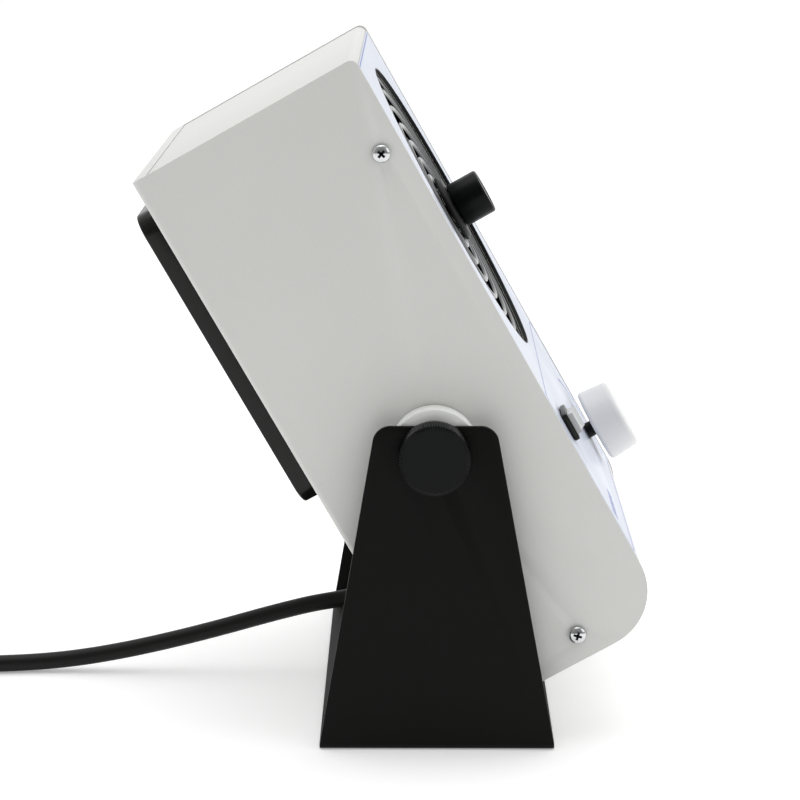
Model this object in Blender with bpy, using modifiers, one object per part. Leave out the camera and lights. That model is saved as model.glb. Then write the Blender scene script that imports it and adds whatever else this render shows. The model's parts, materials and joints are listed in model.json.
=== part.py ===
"""A benchtop fan box, tilted back on a U-shaped bracket, with a ring guard, a knob in the middle of
the guard, a speed knob, a rocker switch, a clip-on rear filter and a coiled mains lead.

The bracket stands on Z = 0 with the middle of its base at the origin, and the front faces -Y. The
housing is modelled upright, measured from the tilt axis, under an empty that leans it back. Front
parts are modelled under empties whose own +Z points out of the front, rear parts under empties whose
own +Z points out of the back.
"""
from math import ceil, cos, pi, radians, sin, tan

import bmesh
import bpy
from mathutils import Matrix, Vector
from mathutils.geometry import interpolate_bezier

MM = 0.001
GAP = 0.3 * MM

# Housing, upright, measured from the tilt axis
WIDTH = 144 * MM
HEIGHT = 220 * MM
DEPTH = 85 * MM
TOP = 128.2 * MM
BACK = 43.3 * MM
HALF = WIDTH / 2
FRONT = BACK - DEPTH
BOTTOM = TOP - HEIGHT
SHEET = 1.2 * MM
TOE_RADIUS = 21 * MM
BROW_RADIUS = 3 * MM
LEAN = radians(29.45)

# Front chassis and overlay, set just inside the cover's edges
CHASSIS_SHEET = 1.0 * MM
CHASSIS_HALF = HALF - SHEET - GAP
CHASSIS_FRONT = FRONT + 0.5 * MM
CHASSIS_REAR = CHASSIS_FRONT + CHASSIS_SHEET
OVERLAY_FRONT = FRONT + 0.2 * MM
OVERLAY_REAR = OVERLAY_FRONT + 0.2 * MM
SEAM = 5.3 * MM

# Air path, on one axis through the front
FAN_HEIGHT = 58.4 * MM
OPENING_RADIUS = 56.5 * MM
OPENING_RISE = 0.8 * MM
RING_PITCH = 7.1 * MM
RING_COUNT = 7
INNER_RING = 14.2 * MM
WIRE_RADIUS = 1.0 * MM
HUB_RADIUS = 12.5 * MM
KNOB_RADIUS = 8.3 * MM
KNOB_FACE = 12.9 * MM
FAN_SIZE = 119 * MM
FAN_DEPTH = 38 * MM
FAN_BORE = 56.5 * MM
STUD_SPACING = 52.5 * MM
ROTOR_HUB = 31 * MM
BLADE_TIP = 53.5 * MM
BLADE_COUNT = 7
BLADE_PITCH = radians(36)

# Rear filter
FILTER_HEIGHT = FAN_HEIGHT
FILTER_SIZE = 116 * MM
FILTER_PROUD = 8.0 * MM
WINDOWS_ACROSS = 5

# Controls on the front
SPEED_X = 38 * MM
SPEED_HEIGHT = -48.3 * MM
SPEED_RADIUS = 14.4 * MM
SPEED_FACE_RADIUS = 13.4 * MM
SPEED_STANDOFF = 3.3 * MM
SPEED_THICKNESS = 12.0 * MM
SHAFT_RADIUS = 3.0 * MM
SWITCH_X = -45 * MM
SWITCH_HEIGHT = -21.5 * MM
BEZEL_WIDTH = 15 * MM
BEZEL_HEIGHT = 10.5 * MM
BEZEL_PROUD = 2.0 * MM
ROCKER_DEPTH = 1.5 * MM
ROCKER_TIP = radians(12)

# Housing screws on each side: front to back, and up
SCREW_PLACES = [(-33.9 * MM, 96.3 * MM), (-10.6 * MM, -82.6 * MM)]
SCREW_HEAD = 3.15 * MM

# Stand
PIVOT_Y = 1.2 * MM
PIVOT_HEIGHT = 106 * MM
STAND_HALF = 81.1 * MM
STAND_SHEET = 2.0 * MM
STAND_HEIGHT = 115.6 * MM
STAND_FOOT = 82 * MM
STAND_TOP = 40.8 * MM
STAND_TOP_SHIFT = 0.75 * MM
STAND_BEND = 2.6 * MM
SPACER_RADIUS = 15.2 * MM
THUMB_RADIUS = 12.25 * MM
THUMB_THICKNESS = 9.0 * MM
STUD_RADIUS = 3.0 * MM
CLEARANCE_HOLE = 3.5 * MM

# Mains lead: route points lie in world space, in millimetres
CORD_RADIUS = 3.15 * MM
CORD_EXIT_HEIGHT = -52.4 * MM
BOOT_LENGTH = 10.8 * MM
CORD_ROUTE = [
    (0, 29.3, 30.4), (0, 34, 29.05), (0, 40, 27.95), (0, 47, 26.6), (0, 56, 24.35), (0, 66, 21.6),
    (0, 76, 18.7), (0, 86, 15.9), (0, 96, 13.25), (0, 106, 10.8), (0, 117, 8.35), (0, 129, 6.1),
    (0, 141, 4.4), (-0.5, 153, 3.5), (-1.5, 165, 3.25), (-2.6, 177, 3.25), (-3.6, 189, 3.25),
    (-4.2, 200, 3.25), (-4.5, 209.9, 3.25)]
COIL_CENTRE = (46.2 * MM, 236 * MM)
COIL_INNER = 28.3 * MM
COIL_OUTER = 54 * MM
COIL_HEIGHT = 12.9 * MM
TAIL_ANGLE = radians(90)
TAIL_LENGTH = 16 * MM
PLUG_LENGTH = 34 * MM
PLUG_WIDTH = 24 * MM
PLUG_THICKNESS = 16 * MM

for old in list(bpy.data.objects):
    bpy.data.objects.remove(old)

PARTS = bpy.data.collections.new("fan_box")
CUTTERS = bpy.data.collections.new("cutters")
bpy.context.scene.collection.children.link(PARTS)
bpy.context.scene.collection.children.link(CUTTERS)


# Materials

def finish(name, red, green, blue, roughness, metallic=0.0):
    """A Principled material from display colours of 0 to 255."""
    material = bpy.data.materials.new(name)
    material.use_nodes = True
    shader = material.node_tree.nodes["Principled BSDF"]
    colour = [(channel / 255) ** 2.2 for channel in (red, green, blue)]
    shader.inputs["Base Color"].default_value = (*colour, 1)
    shader.inputs["Roughness"].default_value = roughness
    shader.inputs["Metallic"].default_value = metallic
    return material


POWDER_GREY = finish("powder_grey", 190, 191, 186, 0.5)
OVERLAY = finish("overlay", 221, 225, 235, 0.35)
BRACKET_BLACK = finish("bracket_black", 26, 28, 25, 0.45)
GLOSS_BLACK = finish("gloss_black", 30, 32, 28, 0.25)
KNOB_BLACK = finish("knob_black", 27, 29, 27, 0.5)
KNOB_PALE = finish("knob_pale", 202, 203, 204, 0.4)
ROCKER_PALE = finish("rocker_pale", 200, 202, 202, 0.25)
NYLON_WHITE = finish("nylon_white", 226, 228, 226, 0.5)
CHROME = finish("chrome", 200, 200, 202, 0.15, 1.0)
ZINC = finish("zinc", 170, 172, 174, 0.35, 1.0)
FAN_BLACK = finish("fan_black", 34, 35, 34, 0.45)
MOTOR_GREY = finish("motor_grey", 70, 72, 74, 0.45, 0.8)
FOAM_BLACK = finish("foam_black", 32, 33, 32, 0.95)
BOARD_GREEN = finish("board_green", 30, 84, 52, 0.5)
CORD_BLACK = finish("cord_black", 24, 25, 24, 0.55)
BRASS = finish("brass", 186, 160, 96, 0.3, 1.0)


# Frames: empties on the tilt axis and on each moving part's axis

def frame(name, location, rotation, parent=None):
    empty = bpy.data.objects.new(name, None)
    PARTS.objects.link(empty)
    empty.parent = parent
    empty.location = location
    empty.rotation_euler = rotation
    return empty


OUT_OF_FRONT = (pi / 2, 0, 0)
OUT_OF_BACK = (-pi / 2, 0, 0)
housing = frame("housing", (0, PIVOT_Y, PIVOT_HEIGHT), (-LEAN, 0, 0))
fan_axis = frame("fan_axis", (0, 0, FAN_HEIGHT), OUT_OF_FRONT, housing)
filter_axis = frame("filter_axis", (0, 0, FILTER_HEIGHT), OUT_OF_BACK, housing)
speed_axis = frame("speed_axis", (SPEED_X, 0, SPEED_HEIGHT), OUT_OF_FRONT, housing)
cord_axis = frame("cord_axis", (0, 0, CORD_EXIT_HEIGHT), OUT_OF_BACK, housing)
rocker_axis = frame("rocker_axis", (SWITCH_X, FRONT + ROCKER_DEPTH, SWITCH_HEIGHT), (0, 0, 0), housing)


# Shape helpers

def place(name, mesh, material, parent):
    obj = bpy.data.objects.new(name, mesh)
    PARTS.objects.link(obj)
    obj.parent = parent
    if material:
        mesh.materials.append(material)
    return obj


def from_bmesh(name, bm, material, parent):
    mesh = bpy.data.meshes.new(name)
    bm.to_mesh(mesh)
    bm.free()
    return place(name, mesh, material, parent)


def box(name, low, high, material=None, parent=None):
    """A box between two corners."""
    bm = bmesh.new()
    bmesh.ops.create_cube(bm, size=1)
    bmesh.ops.scale(bm, vec=Vector(high) - Vector(low), verts=bm.verts)
    bmesh.ops.translate(bm, vec=(Vector(high) + Vector(low)) / 2, verts=bm.verts)
    return from_bmesh(name, bm, material, parent)


def cylinder(name, start, end, radius, material=None, parent=None, sides=32):
    """A solid cylinder between two points."""
    run = Vector(end) - Vector(start)
    bm = bmesh.new()
    bmesh.ops.create_cone(bm, cap_ends=True, segments=sides, radius1=radius, radius2=radius,
                          depth=run.length)
    turn = run.to_track_quat("Z", "Y").to_matrix().to_4x4()
    middle = Matrix.Translation((Vector(start) + Vector(end)) / 2)
    bmesh.ops.transform(bm, matrix=middle @ turn, verts=bm.verts)
    obj = from_bmesh(name, bm, material, parent)
    smooth(obj.data)
    return obj


def smooth(mesh):
    mesh.shade_smooth()
    mesh.set_sharp_from_angle(angle=radians(40))


def turned(name, profile, material=None, parent=None, steps=32, closed=False):
    """A profile of (radius, height) pairs, outer side downwards, turned about the local Z axis."""
    bm = bmesh.new()
    points = [bm.verts.new((radius, 0, height)) for radius, height in profile]
    for first, second in zip(points, points[1:]):
        bm.edges.new((first, second))
    if closed:
        bm.edges.new((points[-1], points[0]))
    obj = from_bmesh(name, bm, material, parent)
    screw = obj.modifiers.new("turn", "SCREW")
    screw.steps = steps
    screw.render_steps = steps
    screw.use_merge_vertices = True
    screw.merge_threshold = 0.00001
    return obj


def rounded(corners):
    """An outline's points, from corners of (x, y) or (x, y, radius)."""
    points = []
    for index, corner in enumerate(corners):
        here = Vector(corner[:2])
        radius = corner[2] if len(corner) > 2 else 0
        if radius == 0:
            points.append(here)
            continue
        back = (Vector(corners[index - 1][:2]) - here).normalized()
        ahead = (Vector(corners[(index + 1) % len(corners)][:2]) - here).normalized()
        half_angle = back.angle(ahead) / 2
        start = here + back * radius / tan(half_angle)
        end = here + ahead * radius / tan(half_angle)
        centre = here + (back + ahead).normalized() * radius / sin(half_angle)
        sweep = (start - centre).angle_signed(end - centre)
        steps = max(2, ceil(abs(sweep) / radians(16)))
        for step in range(steps + 1):
            arm = start - centre
            arm.rotate(Matrix.Rotation(-sweep * step / steps, 2))
            points.append(centre + arm)
    return points


def rectangle(width, height, radius, x=0.0, y=0.0):
    """Corners of a rounded rectangle about a centre."""
    w = width / 2
    h = height / 2
    return [(x - w, y - h, radius), (x + w, y - h, radius), (x + w, y + h, radius), (x - w, y + h, radius)]


ACROSS = Matrix(((0, 0, 1, 0), (1, 0, 0, 0), (0, 1, 0, 0), (0, 0, 0, 1)))
LYING = Matrix.Identity(4)
FACING = Matrix(((1, 0, 0, 0), (0, 0, -1, 0), (0, 1, 0, 0), (0, 0, 0, 1)))


def prism(name, corners, low, high, turn=LYING, material=None, parent=None):
    """A flat outline given thickness from low to high along its normal, then turned.

    LYING outlines are (x, y). ACROSS outlines are (y, z), thick along X. FACING outlines are (x, z),
    thick along -Y.
    """
    curve = bpy.data.curves.new(name, "CURVE")
    curve.dimensions = "2D"
    curve.fill_mode = "BOTH"
    curve.extrude = (high - low) / 2
    points = rounded(corners)
    spline = curve.splines.new("POLY")
    spline.points.add(len(points) - 1)
    for spot, point in zip(spline.points, points):
        spot.co = (point.x, point.y, 0, 1)
    spline.use_cyclic_u = True
    return curve_to_mesh(name, curve, turn @ Matrix.Translation((0, 0, (low + high) / 2)), material, parent)


def tube(name, points, radius, material=None, parent=None, resolution=2):
    """A round wire or cord with flat ends through a list of points."""
    curve = bpy.data.curves.new(name, "CURVE")
    curve.dimensions = "3D"
    curve.bevel_depth = radius
    curve.bevel_resolution = resolution
    curve.use_fill_caps = True
    spline = curve.splines.new("POLY")
    spline.points.add(len(points) - 1)
    for spot, point in zip(spline.points, points):
        spot.co = (*point, 1)
    obj = curve_to_mesh(name, curve, Matrix.Identity(4), material, parent)
    smooth(obj.data)
    return obj


def curve_to_mesh(name, curve, matrix, material, parent):
    """Turns a curve into a welded mesh with its place in the mesh."""
    guide = bpy.data.objects.new("guide", curve)
    PARTS.objects.link(guide)
    graph = bpy.context.evaluated_depsgraph_get()
    mesh = bpy.data.meshes.new_from_object(guide.evaluated_get(graph))
    bpy.data.objects.remove(guide)
    bm = bmesh.new()
    bm.from_mesh(mesh)
    bmesh.ops.remove_doubles(bm, verts=bm.verts, dist=0.000001)
    bmesh.ops.recalc_face_normals(bm, faces=bm.faces)
    bm.to_mesh(mesh)
    bm.free()
    mesh.transform(matrix)
    mesh.materials.clear()
    return place(name, mesh, material, parent)


def combine(target, tool, operation):
    """Adds a Boolean to target and puts its tool with the cutters."""
    modifier = target.modifiers.new(tool.name, "BOOLEAN")
    modifier.operation = operation
    modifier.solver = "EXACT"
    modifier.object = tool
    PARTS.objects.unlink(tool)
    CUTTERS.objects.link(tool)
    tool.hide_render = True
    tool.display_type = "WIRE"


def cut(target, *tools):
    for tool in tools:
        combine(target, tool, "DIFFERENCE")


def weld(target, *tools):
    for tool in tools:
        combine(target, tool, "UNION")


def soften(target, width, segments=2, angle=40):
    bevel = target.modifiers.new("soften", "BEVEL")
    bevel.width = width
    bevel.segments = segments
    bevel.limit_method = "ANGLE"
    bevel.angle_limit = radians(angle)


def disc(radius, top, bottom, edge=0.0):
    """The profile of a solid disc, its top edge chamfered."""
    return [(0, top), (radius - edge, top), (radius, top - edge), (radius, bottom), (0, bottom)]


def washer(outer, inner, top, bottom, edge=0.0):
    """The closed profile of a ring, its outer edges chamfered."""
    return [(inner, top), (outer - edge, top), (outer, top - edge), (outer, bottom + edge),
            (outer - edge, bottom), (inner, bottom)]


def wire_ring(radius, wire, height, sides=6):
    """The closed profile of a round wire bent into a ring."""
    angles = [pi / 2 - 2 * pi * side / sides for side in range(sides)]
    return [(radius + wire * cos(angle), height + wire * sin(angle)) for angle in angles]


# Stand: one bent sheet, with white discs between its legs and the housing

def make_stand():
    half = STAND_HALF
    inner = STAND_HALF - STAND_SHEET
    deep = STAND_FOOT
    high = STAND_HEIGHT + 10 * MM
    bend = STAND_BEND
    section = [(-half, 0, bend), (half, 0, bend), (half, high), (inner, high),
               (inner, STAND_SHEET, bend - STAND_SHEET), (-inner, STAND_SHEET, bend - STAND_SHEET),
               (-inner, high), (-half, high)]
    stand = prism("stand_bracket", section, -deep, deep, FACING, BRACKET_BLACK)
    outline = [(-STAND_FOOT / 2, -MM), (STAND_FOOT / 2, -MM),
               (STAND_TOP_SHIFT + STAND_TOP / 2, STAND_HEIGHT, 5 * MM),
               (STAND_TOP_SHIFT - STAND_TOP / 2, STAND_HEIGHT, 5 * MM)]
    side = prism("stand_outline", outline, -2 * half, 2 * half, ACROSS)
    combine(stand, side, "INTERSECT")
    reach = 2 * half
    cut(stand, cylinder("stand_pivot_hole", (-reach, PIVOT_Y, PIVOT_HEIGHT), (reach, PIVOT_Y, PIVOT_HEIGHT),
                        CLEARANCE_HOLE, sides=24))


def make_side_hardware(side, sign):
    """The spacer, thumb knob, stud and weld nut on one side, all on the tilt axis."""
    axis = frame(f"side_axis_{side}", (0, PIVOT_Y, PIVOT_HEIGHT), (0, sign * pi / 2, 0))
    inner = STAND_HALF - STAND_SHEET - GAP
    turned(f"spacer_{side}", washer(SPACER_RADIUS, CLEARANCE_HOLE, inner, HALF + GAP, 0.4 * MM),
           NYLON_WHITE, axis, closed=True)

    knob_inner = STAND_HALF + GAP
    knob_outer = knob_inner + THUMB_THICKNESS
    bore = STUD_RADIUS + GAP
    bore_end = knob_outer - 3 * MM
    rim = 0.6 * MM
    profile = [(0, knob_outer), (THUMB_RADIUS - rim, knob_outer), (THUMB_RADIUS, knob_outer - rim),
               (THUMB_RADIUS, knob_inner + rim), (THUMB_RADIUS - rim, knob_inner), (bore, knob_inner),
               (bore, bore_end), (0, bore_end)]
    turned(f"thumb_knob_{side}", profile, KNOB_BLACK, axis)
    turned(f"thumb_stud_{side}", disc(STUD_RADIUS, bore_end - GAP, HALF - 9 * MM, 0.4 * MM), ZINC, axis, 20)

    nut_outer = HALF - SHEET - GAP
    turned(f"pivot_nut_{side}", washer(6.5 * MM, bore, nut_outer, nut_outer - 5 * MM, 0.4 * MM),
           ZINC, frame(f"nut_axis_{side}", (0, 0, 0), (0, sign * pi / 2, 0), housing), steps=24, closed=True)


# Housing shell

def make_rear_cover():
    """Two sides and the back in one sheet, trimmed to the side outline."""
    beyond = 5 * MM
    bend = 2 * MM
    thin = bend - SHEET
    inner = HALF - SHEET
    plan = [(-HALF, FRONT - beyond), (-inner, FRONT - beyond), (-inner, BACK - SHEET, thin),
            (inner, BACK - SHEET, thin), (inner, FRONT - beyond), (HALF, FRONT - beyond),
            (HALF, BACK, bend), (-HALF, BACK, bend)]
    cover = prism("rear_cover", plan, BOTTOM - beyond, TOP + beyond, LYING, POWDER_GREY, housing)
    outline = [(BACK + beyond, BOTTOM), (BACK + beyond, TOP), (FRONT, TOP, BROW_RADIUS),
               (FRONT, BOTTOM, TOE_RADIUS)]
    combine(cover, prism("side_outline", outline, -WIDTH, WIDTH, ACROSS, parent=housing), "INTERSECT")
    weld(cover, box("top_lip", (-CHASSIS_HALF, BACK - SEAM + GAP, TOP - SHEET),
                    (CHASSIS_HALF, BACK - SHEET / 2, TOP - 0.1 * MM), parent=housing))
    cut(cover,
        cylinder("intake", (0, 0, BACK - 2 * SHEET), (0, 0, BACK + SHEET), 50 * MM,
                 parent=filter_axis, sides=48),
        cylinder("cord_hole", (0, 0, BACK - 2 * SHEET), (0, 0, BACK + SHEET), 5.9 * MM,
                 parent=cord_axis, sides=24),
        cylinder("pivot_holes", (-WIDTH, 0, 0), (WIDTH, 0, 0), CLEARANCE_HOLE, parent=housing, sides=24))
    for place_y, place_z in SCREW_PLACES:
        cut(cover, cylinder("screw_holes", (-WIDTH, place_y, place_z), (WIDTH, place_y, place_z),
                            1.9 * MM, parent=housing, sides=12))


def make_front_chassis():
    """Top, front and bottom in one sheet, with a tab behind each housing screw."""
    rise = TOP - 0.3 * MM
    sink = BOTTOM + 0.3 * MM
    thick = CHASSIS_SHEET
    seam = BACK - SEAM
    heel = BACK - SHEET - GAP
    section = [(seam, rise), (CHASSIS_FRONT, rise, BROW_RADIUS),
               (CHASSIS_FRONT, sink, TOE_RADIUS - 0.3 * MM), (heel, sink), (heel, sink + thick),
               (CHASSIS_REAR, sink + thick, TOE_RADIUS - 0.3 * MM - thick),
               (CHASSIS_REAR, rise - thick, BROW_RADIUS - thick), (seam, rise - thick)]
    chassis = prism("front_chassis", section, -CHASSIS_HALF, CHASSIS_HALF, ACROSS, POWDER_GREY, housing)
    (upper_y, upper_z), (lower_y, lower_z) = SCREW_PLACES
    for sign in (-1, 1):
        outer = sign * (CHASSIS_HALF - 0.1 * MM)
        inner = sign * (CHASSIS_HALF - 1.3 * MM)
        near = min(outer, inner)
        far = max(outer, inner)
        weld(chassis,
             box("upper_tab", (near, CHASSIS_FRONT + thick / 2, upper_z - 5.5 * MM),
                 (far, upper_y + 5.5 * MM, upper_z + 5.5 * MM), parent=housing),
             box("lower_tab", (near, lower_y - 6 * MM, sink + thick / 2),
                 (far, lower_y + 6 * MM, lower_z + 5.5 * MM), parent=housing))
    for place_y, place_z in SCREW_PLACES:
        cut(chassis, cylinder("tab_holes", (-WIDTH, place_y, place_z), (WIDTH, place_y, place_z),
                              1.9 * MM, parent=housing, sides=12))
    cut_front(chassis, CHASSIS_FRONT - 2 * MM, CHASSIS_REAR + 2 * MM, 0)


def cut_front(panel, front, rear, ease):
    """Cuts the fan opening, the switch cut-out and the speed shaft hole through a front panel."""
    cut(panel,
        cylinder("opening", (0, OPENING_RISE, -rear), (0, OPENING_RISE, -front), OPENING_RADIUS + ease,
                 parent=fan_axis, sides=56),
        cylinder("shaft_hole", (0, 0, -rear), (0, 0, -front), 3.6 * MM + ease,
                 parent=speed_axis, sides=24),
        box("switch_hole", (SWITCH_X - 6.7 * MM - ease, front, SWITCH_HEIGHT - 4.9 * MM - ease),
            (SWITCH_X + 6.7 * MM + ease, rear, SWITCH_HEIGHT + 4.9 * MM + ease), parent=housing))


def make_front_overlay():
    top = TOP - BROW_RADIUS - 0.3 * MM
    foot = BOTTOM + TOE_RADIUS + 0.3 * MM
    middle = (top + foot) / 2
    outline = rectangle(2 * CHASSIS_HALF - 0.8 * MM, top - foot, 2 * MM, 0, middle)
    overlay = prism("front_overlay", outline, -OVERLAY_REAR, -OVERLAY_FRONT, FACING, OVERLAY, housing)
    cut_front(overlay, OVERLAY_FRONT - MM, OVERLAY_REAR + 0.05 * MM, 0.2 * MM)


def make_housing_screws():
    """A pan head with a cross recess, and its shank, at each screw place on both sides."""
    for side, sign in (("left", -1), ("right", 1)):
        for level, (place_y, place_z) in zip(("upper", "lower"), SCREW_PLACES):
            axis = frame(f"screw_axis_{side}_{level}", (0, place_y, place_z), (0, sign * pi / 2, 0), housing)
            seat = HALF + 0.1 * MM
            crown = 2.2 * MM
            profile = [(0, seat + crown), (0.45 * SCREW_HEAD, seat + 0.95 * crown),
                       (0.8 * SCREW_HEAD, seat + 0.7 * crown), (SCREW_HEAD, seat + 0.3 * crown),
                       (SCREW_HEAD, seat), (1.5 * MM, seat), (1.5 * MM, seat - 7 * MM),
                       (0, seat - 7 * MM)]
            name = f"housing_screw_{side}_{level}"
            screw = turned(name, profile, CHROME, axis, steps=16)
            arm = 1.9 * MM
            slot = 0.4 * MM
            for turn, (x, y) in enumerate(((arm, slot), (slot, arm))):
                cut(screw, box(f"cross_{turn}", (-x, -y, seat + 0.4 * crown), (x, y, seat + 2 * crown),
                               parent=axis))


# Front air path

def make_guard():
    """Chrome rings on four spokes, with a plate in the middle that the hub disc covers."""
    ring_height = -CHASSIS_REAR - GAP - WIRE_RADIUS
    spoke_height = ring_height - 1.7 * WIRE_RADIUS
    guard = turned("finger_guard", washer(9 * MM, 3 * MM, ring_height + 0.7 * MM, spoke_height - 0.8 * MM),
                   CHROME, fan_axis, steps=24, closed=True)
    for number in range(RING_COUNT):
        radius = INNER_RING + number * RING_PITCH
        steps = 18 + 3 * number
        ring = turned(f"guard_ring_{number}", wire_ring(radius, WIRE_RADIUS, ring_height),
                      parent=fan_axis, steps=steps, closed=True)
        weld(guard, ring)
    for number in range(4):
        angle = pi / 4 + number * pi / 2
        inner = Vector((cos(angle), sin(angle), 0)) * 7 * MM
        outer = Vector((cos(angle), sin(angle), 0)) * 70 * MM
        lift = Vector((0, 0, spoke_height))
        weld(guard, cylinder(f"guard_spoke_{number}", inner + lift, outer + lift, WIRE_RADIUS,
                             parent=fan_axis, sides=6))
    hub_low = ring_height + WIRE_RADIUS + GAP
    hub_top = -FRONT + 0.8 * MM
    turned("guard_hub", washer(HUB_RADIUS, 2.6 * MM, hub_top, hub_low, 0.4 * MM), KNOB_BLACK, fan_axis,
           closed=True)
    return spoke_height, hub_top


def make_centre_knob(spoke_height, hub_top):
    """The knob in the middle of the guard, on a shaft with a collar behind the guard."""
    low = hub_top + GAP
    top = -FRONT + KNOB_FACE
    bore = 2.5 * MM
    bore_end = top - 4 * MM
    rim = 1.0 * MM
    profile = [(0, top), (KNOB_RADIUS - rim, top), (KNOB_RADIUS, top - rim), (KNOB_RADIUS, low),
               (bore, low), (bore, bore_end), (0, bore_end)]
    turned("centre_knob", profile, KNOB_BLACK, fan_axis)
    shaft = 2.2 * MM
    collar = spoke_height - 0.8 * MM - GAP
    profile = [(0, bore_end - GAP), (shaft, bore_end - GAP), (shaft, collar), (5 * MM, collar),
               (5 * MM, collar - 1.6 * MM), (0, collar - 1.6 * MM)]
    turned("centre_shaft", profile, ZINC, fan_axis, steps=20)


def make_fan(spoke_height):
    """The fan frame and its struts, the motor in the struts' ring, the rotor and four studs."""
    front = spoke_height - WIRE_RADIUS - GAP
    rear = front - FAN_DEPTH
    plate_top = rear + 4.6 * MM
    fan = prism("fan_frame", rectangle(FAN_SIZE, FAN_SIZE, 4 * MM), rear, front, LYING, FAN_BLACK, fan_axis)
    cut(fan, cylinder("fan_bore", (0, 0, rear - MM), (0, 0, front + MM), FAN_BORE, parent=fan_axis, sides=40))
    motor_radius = 33 * MM
    weld(fan, turned("strut_ring", washer(motor_radius + 3 * MM, motor_radius + GAP, plate_top, rear),
                     parent=fan_axis, steps=24, closed=True))
    for number in range(3):
        strut = box(f"strut_{number}", (motor_radius + MM, -4 * MM, rear),
                    (FAN_BORE + 2 * MM, 4 * MM, plate_top), parent=fan_axis)
        strut.rotation_euler.z = pi / 2 + number * 2 * pi / 3
        weld(fan, strut)
    for number in range(4):
        angle = pi / 4 + number * pi / 2
        reach = STUD_SPACING / cos(pi / 4)
        x = reach * cos(angle)
        y = reach * sin(angle)
        cut(fan, cylinder(f"stud_hole_{number}", (x, y, rear - MM), (x, y, front + MM), 2.3 * MM,
                          parent=fan_axis, sides=16))
        post = frame(f"stud_axis_{number}", (x, y, 0), (0, 0, 0), fan_axis)
        nut_top = rear - GAP
        profile = [(0, -CHASSIS_REAR - GAP), (1.9 * MM, -CHASSIS_REAR - GAP), (1.9 * MM, nut_top),
                   (3.8 * MM, nut_top), (3.8 * MM, nut_top - 3 * MM), (0, nut_top - 3 * MM)]
        turned(f"fan_stud_{number + 1}", profile, ZINC, post, steps=12)

    cup_front = front - 4.2 * MM
    cup_rear = plate_top + 1.2 * MM
    wall = 2.5 * MM
    core = ROTOR_HUB - wall - MM
    profile = [(0, cup_front - wall - MM), (core, cup_front - wall - MM), (core, plate_top + MM),
               (motor_radius, plate_top + MM), (motor_radius, rear), (0, rear)]
    turned("fan_motor", profile, MOTOR_GREY, fan_axis, steps=32)

    rotor = turned("fan_rotor", disc(ROTOR_HUB, cup_front, cup_rear, 2 * MM), FAN_BLACK, fan_axis)
    middle = (cup_front + cup_rear) / 2
    chord = 29 * MM
    for number in range(BLADE_COUNT):
        blade = box(f"blade_{number}", (20 * MM, -chord / 2, -0.9 * MM), (BLADE_TIP, chord / 2, 0.9 * MM),
                    parent=fan_axis)
        around = Matrix.Rotation(2 * pi * number / BLADE_COUNT, 4, "Z")
        pitch = Matrix.Rotation(BLADE_PITCH, 4, "X")
        blade.data.transform(Matrix.Translation((0, 0, middle)) @ around @ pitch)
        weld(rotor, blade)
    cut(rotor, cylinder("cup_hollow", (0, 0, rear), (0, 0, cup_front - wall), ROTOR_HUB - wall,
                        parent=fan_axis, sides=40))


# Rear filter: a ribbed base on the back, a foam pad and a clip-on cover

def make_filter():
    foot = BACK + GAP
    wall = 1.8 * MM
    base_size = FILTER_SIZE - 2 * wall - 1.4 * MM
    base_top = foot + 2 * MM
    base = prism("filter_base", rectangle(base_size, base_size, 6 * MM), foot, base_top, LYING,
                 GLOSS_BLACK, filter_axis)
    bay = (base_size - 3 * 6 * MM) / 2
    for x in (-1, 1):
        for y in (-1, 1):
            centre = (bay + 6 * MM) / 2
            cut(base, prism(f"base_bay_{x}_{y}", rectangle(bay, bay, 4 * MM, x * centre, y * centre),
                            foot - MM, base_top + MM, parent=filter_axis))

    cover_top = BACK + FILTER_PROUD
    face = cover_top - 1.7 * MM
    prism("filter_foam", rectangle(base_size - 2 * MM, base_size - 2 * MM, 5 * MM), base_top + GAP,
          face - GAP, LYING, FOAM_BLACK, filter_axis)

    cover = prism("filter_cover", rectangle(FILTER_SIZE, FILTER_SIZE, 8 * MM), foot + 0.1 * MM, cover_top,
                  LYING, GLOSS_BLACK, filter_axis)
    hollow = FILTER_SIZE - 2 * wall
    cut(cover, prism("cover_hollow", rectangle(hollow, hollow, 8 * MM - wall), foot - MM, face,
                     parent=filter_axis))
    pitch = 19.5 * MM
    window = 15.5 * MM
    edge = -pitch * (WINDOWS_ACROSS - 1) / 2
    grid = bmesh.new()
    for column in range(WINDOWS_ACROSS):
        for row in range(WINDOWS_ACROSS):
            spot = Matrix.Translation((edge + column * pitch, edge + row * pitch, cover_top))
            size = Matrix.Diagonal((window, window, 6 * MM, 1))
            bmesh.ops.create_cube(grid, size=1, matrix=spot @ size)
    cut(cover, from_bmesh("cover_windows", grid, None, filter_axis))


# Controls

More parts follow.
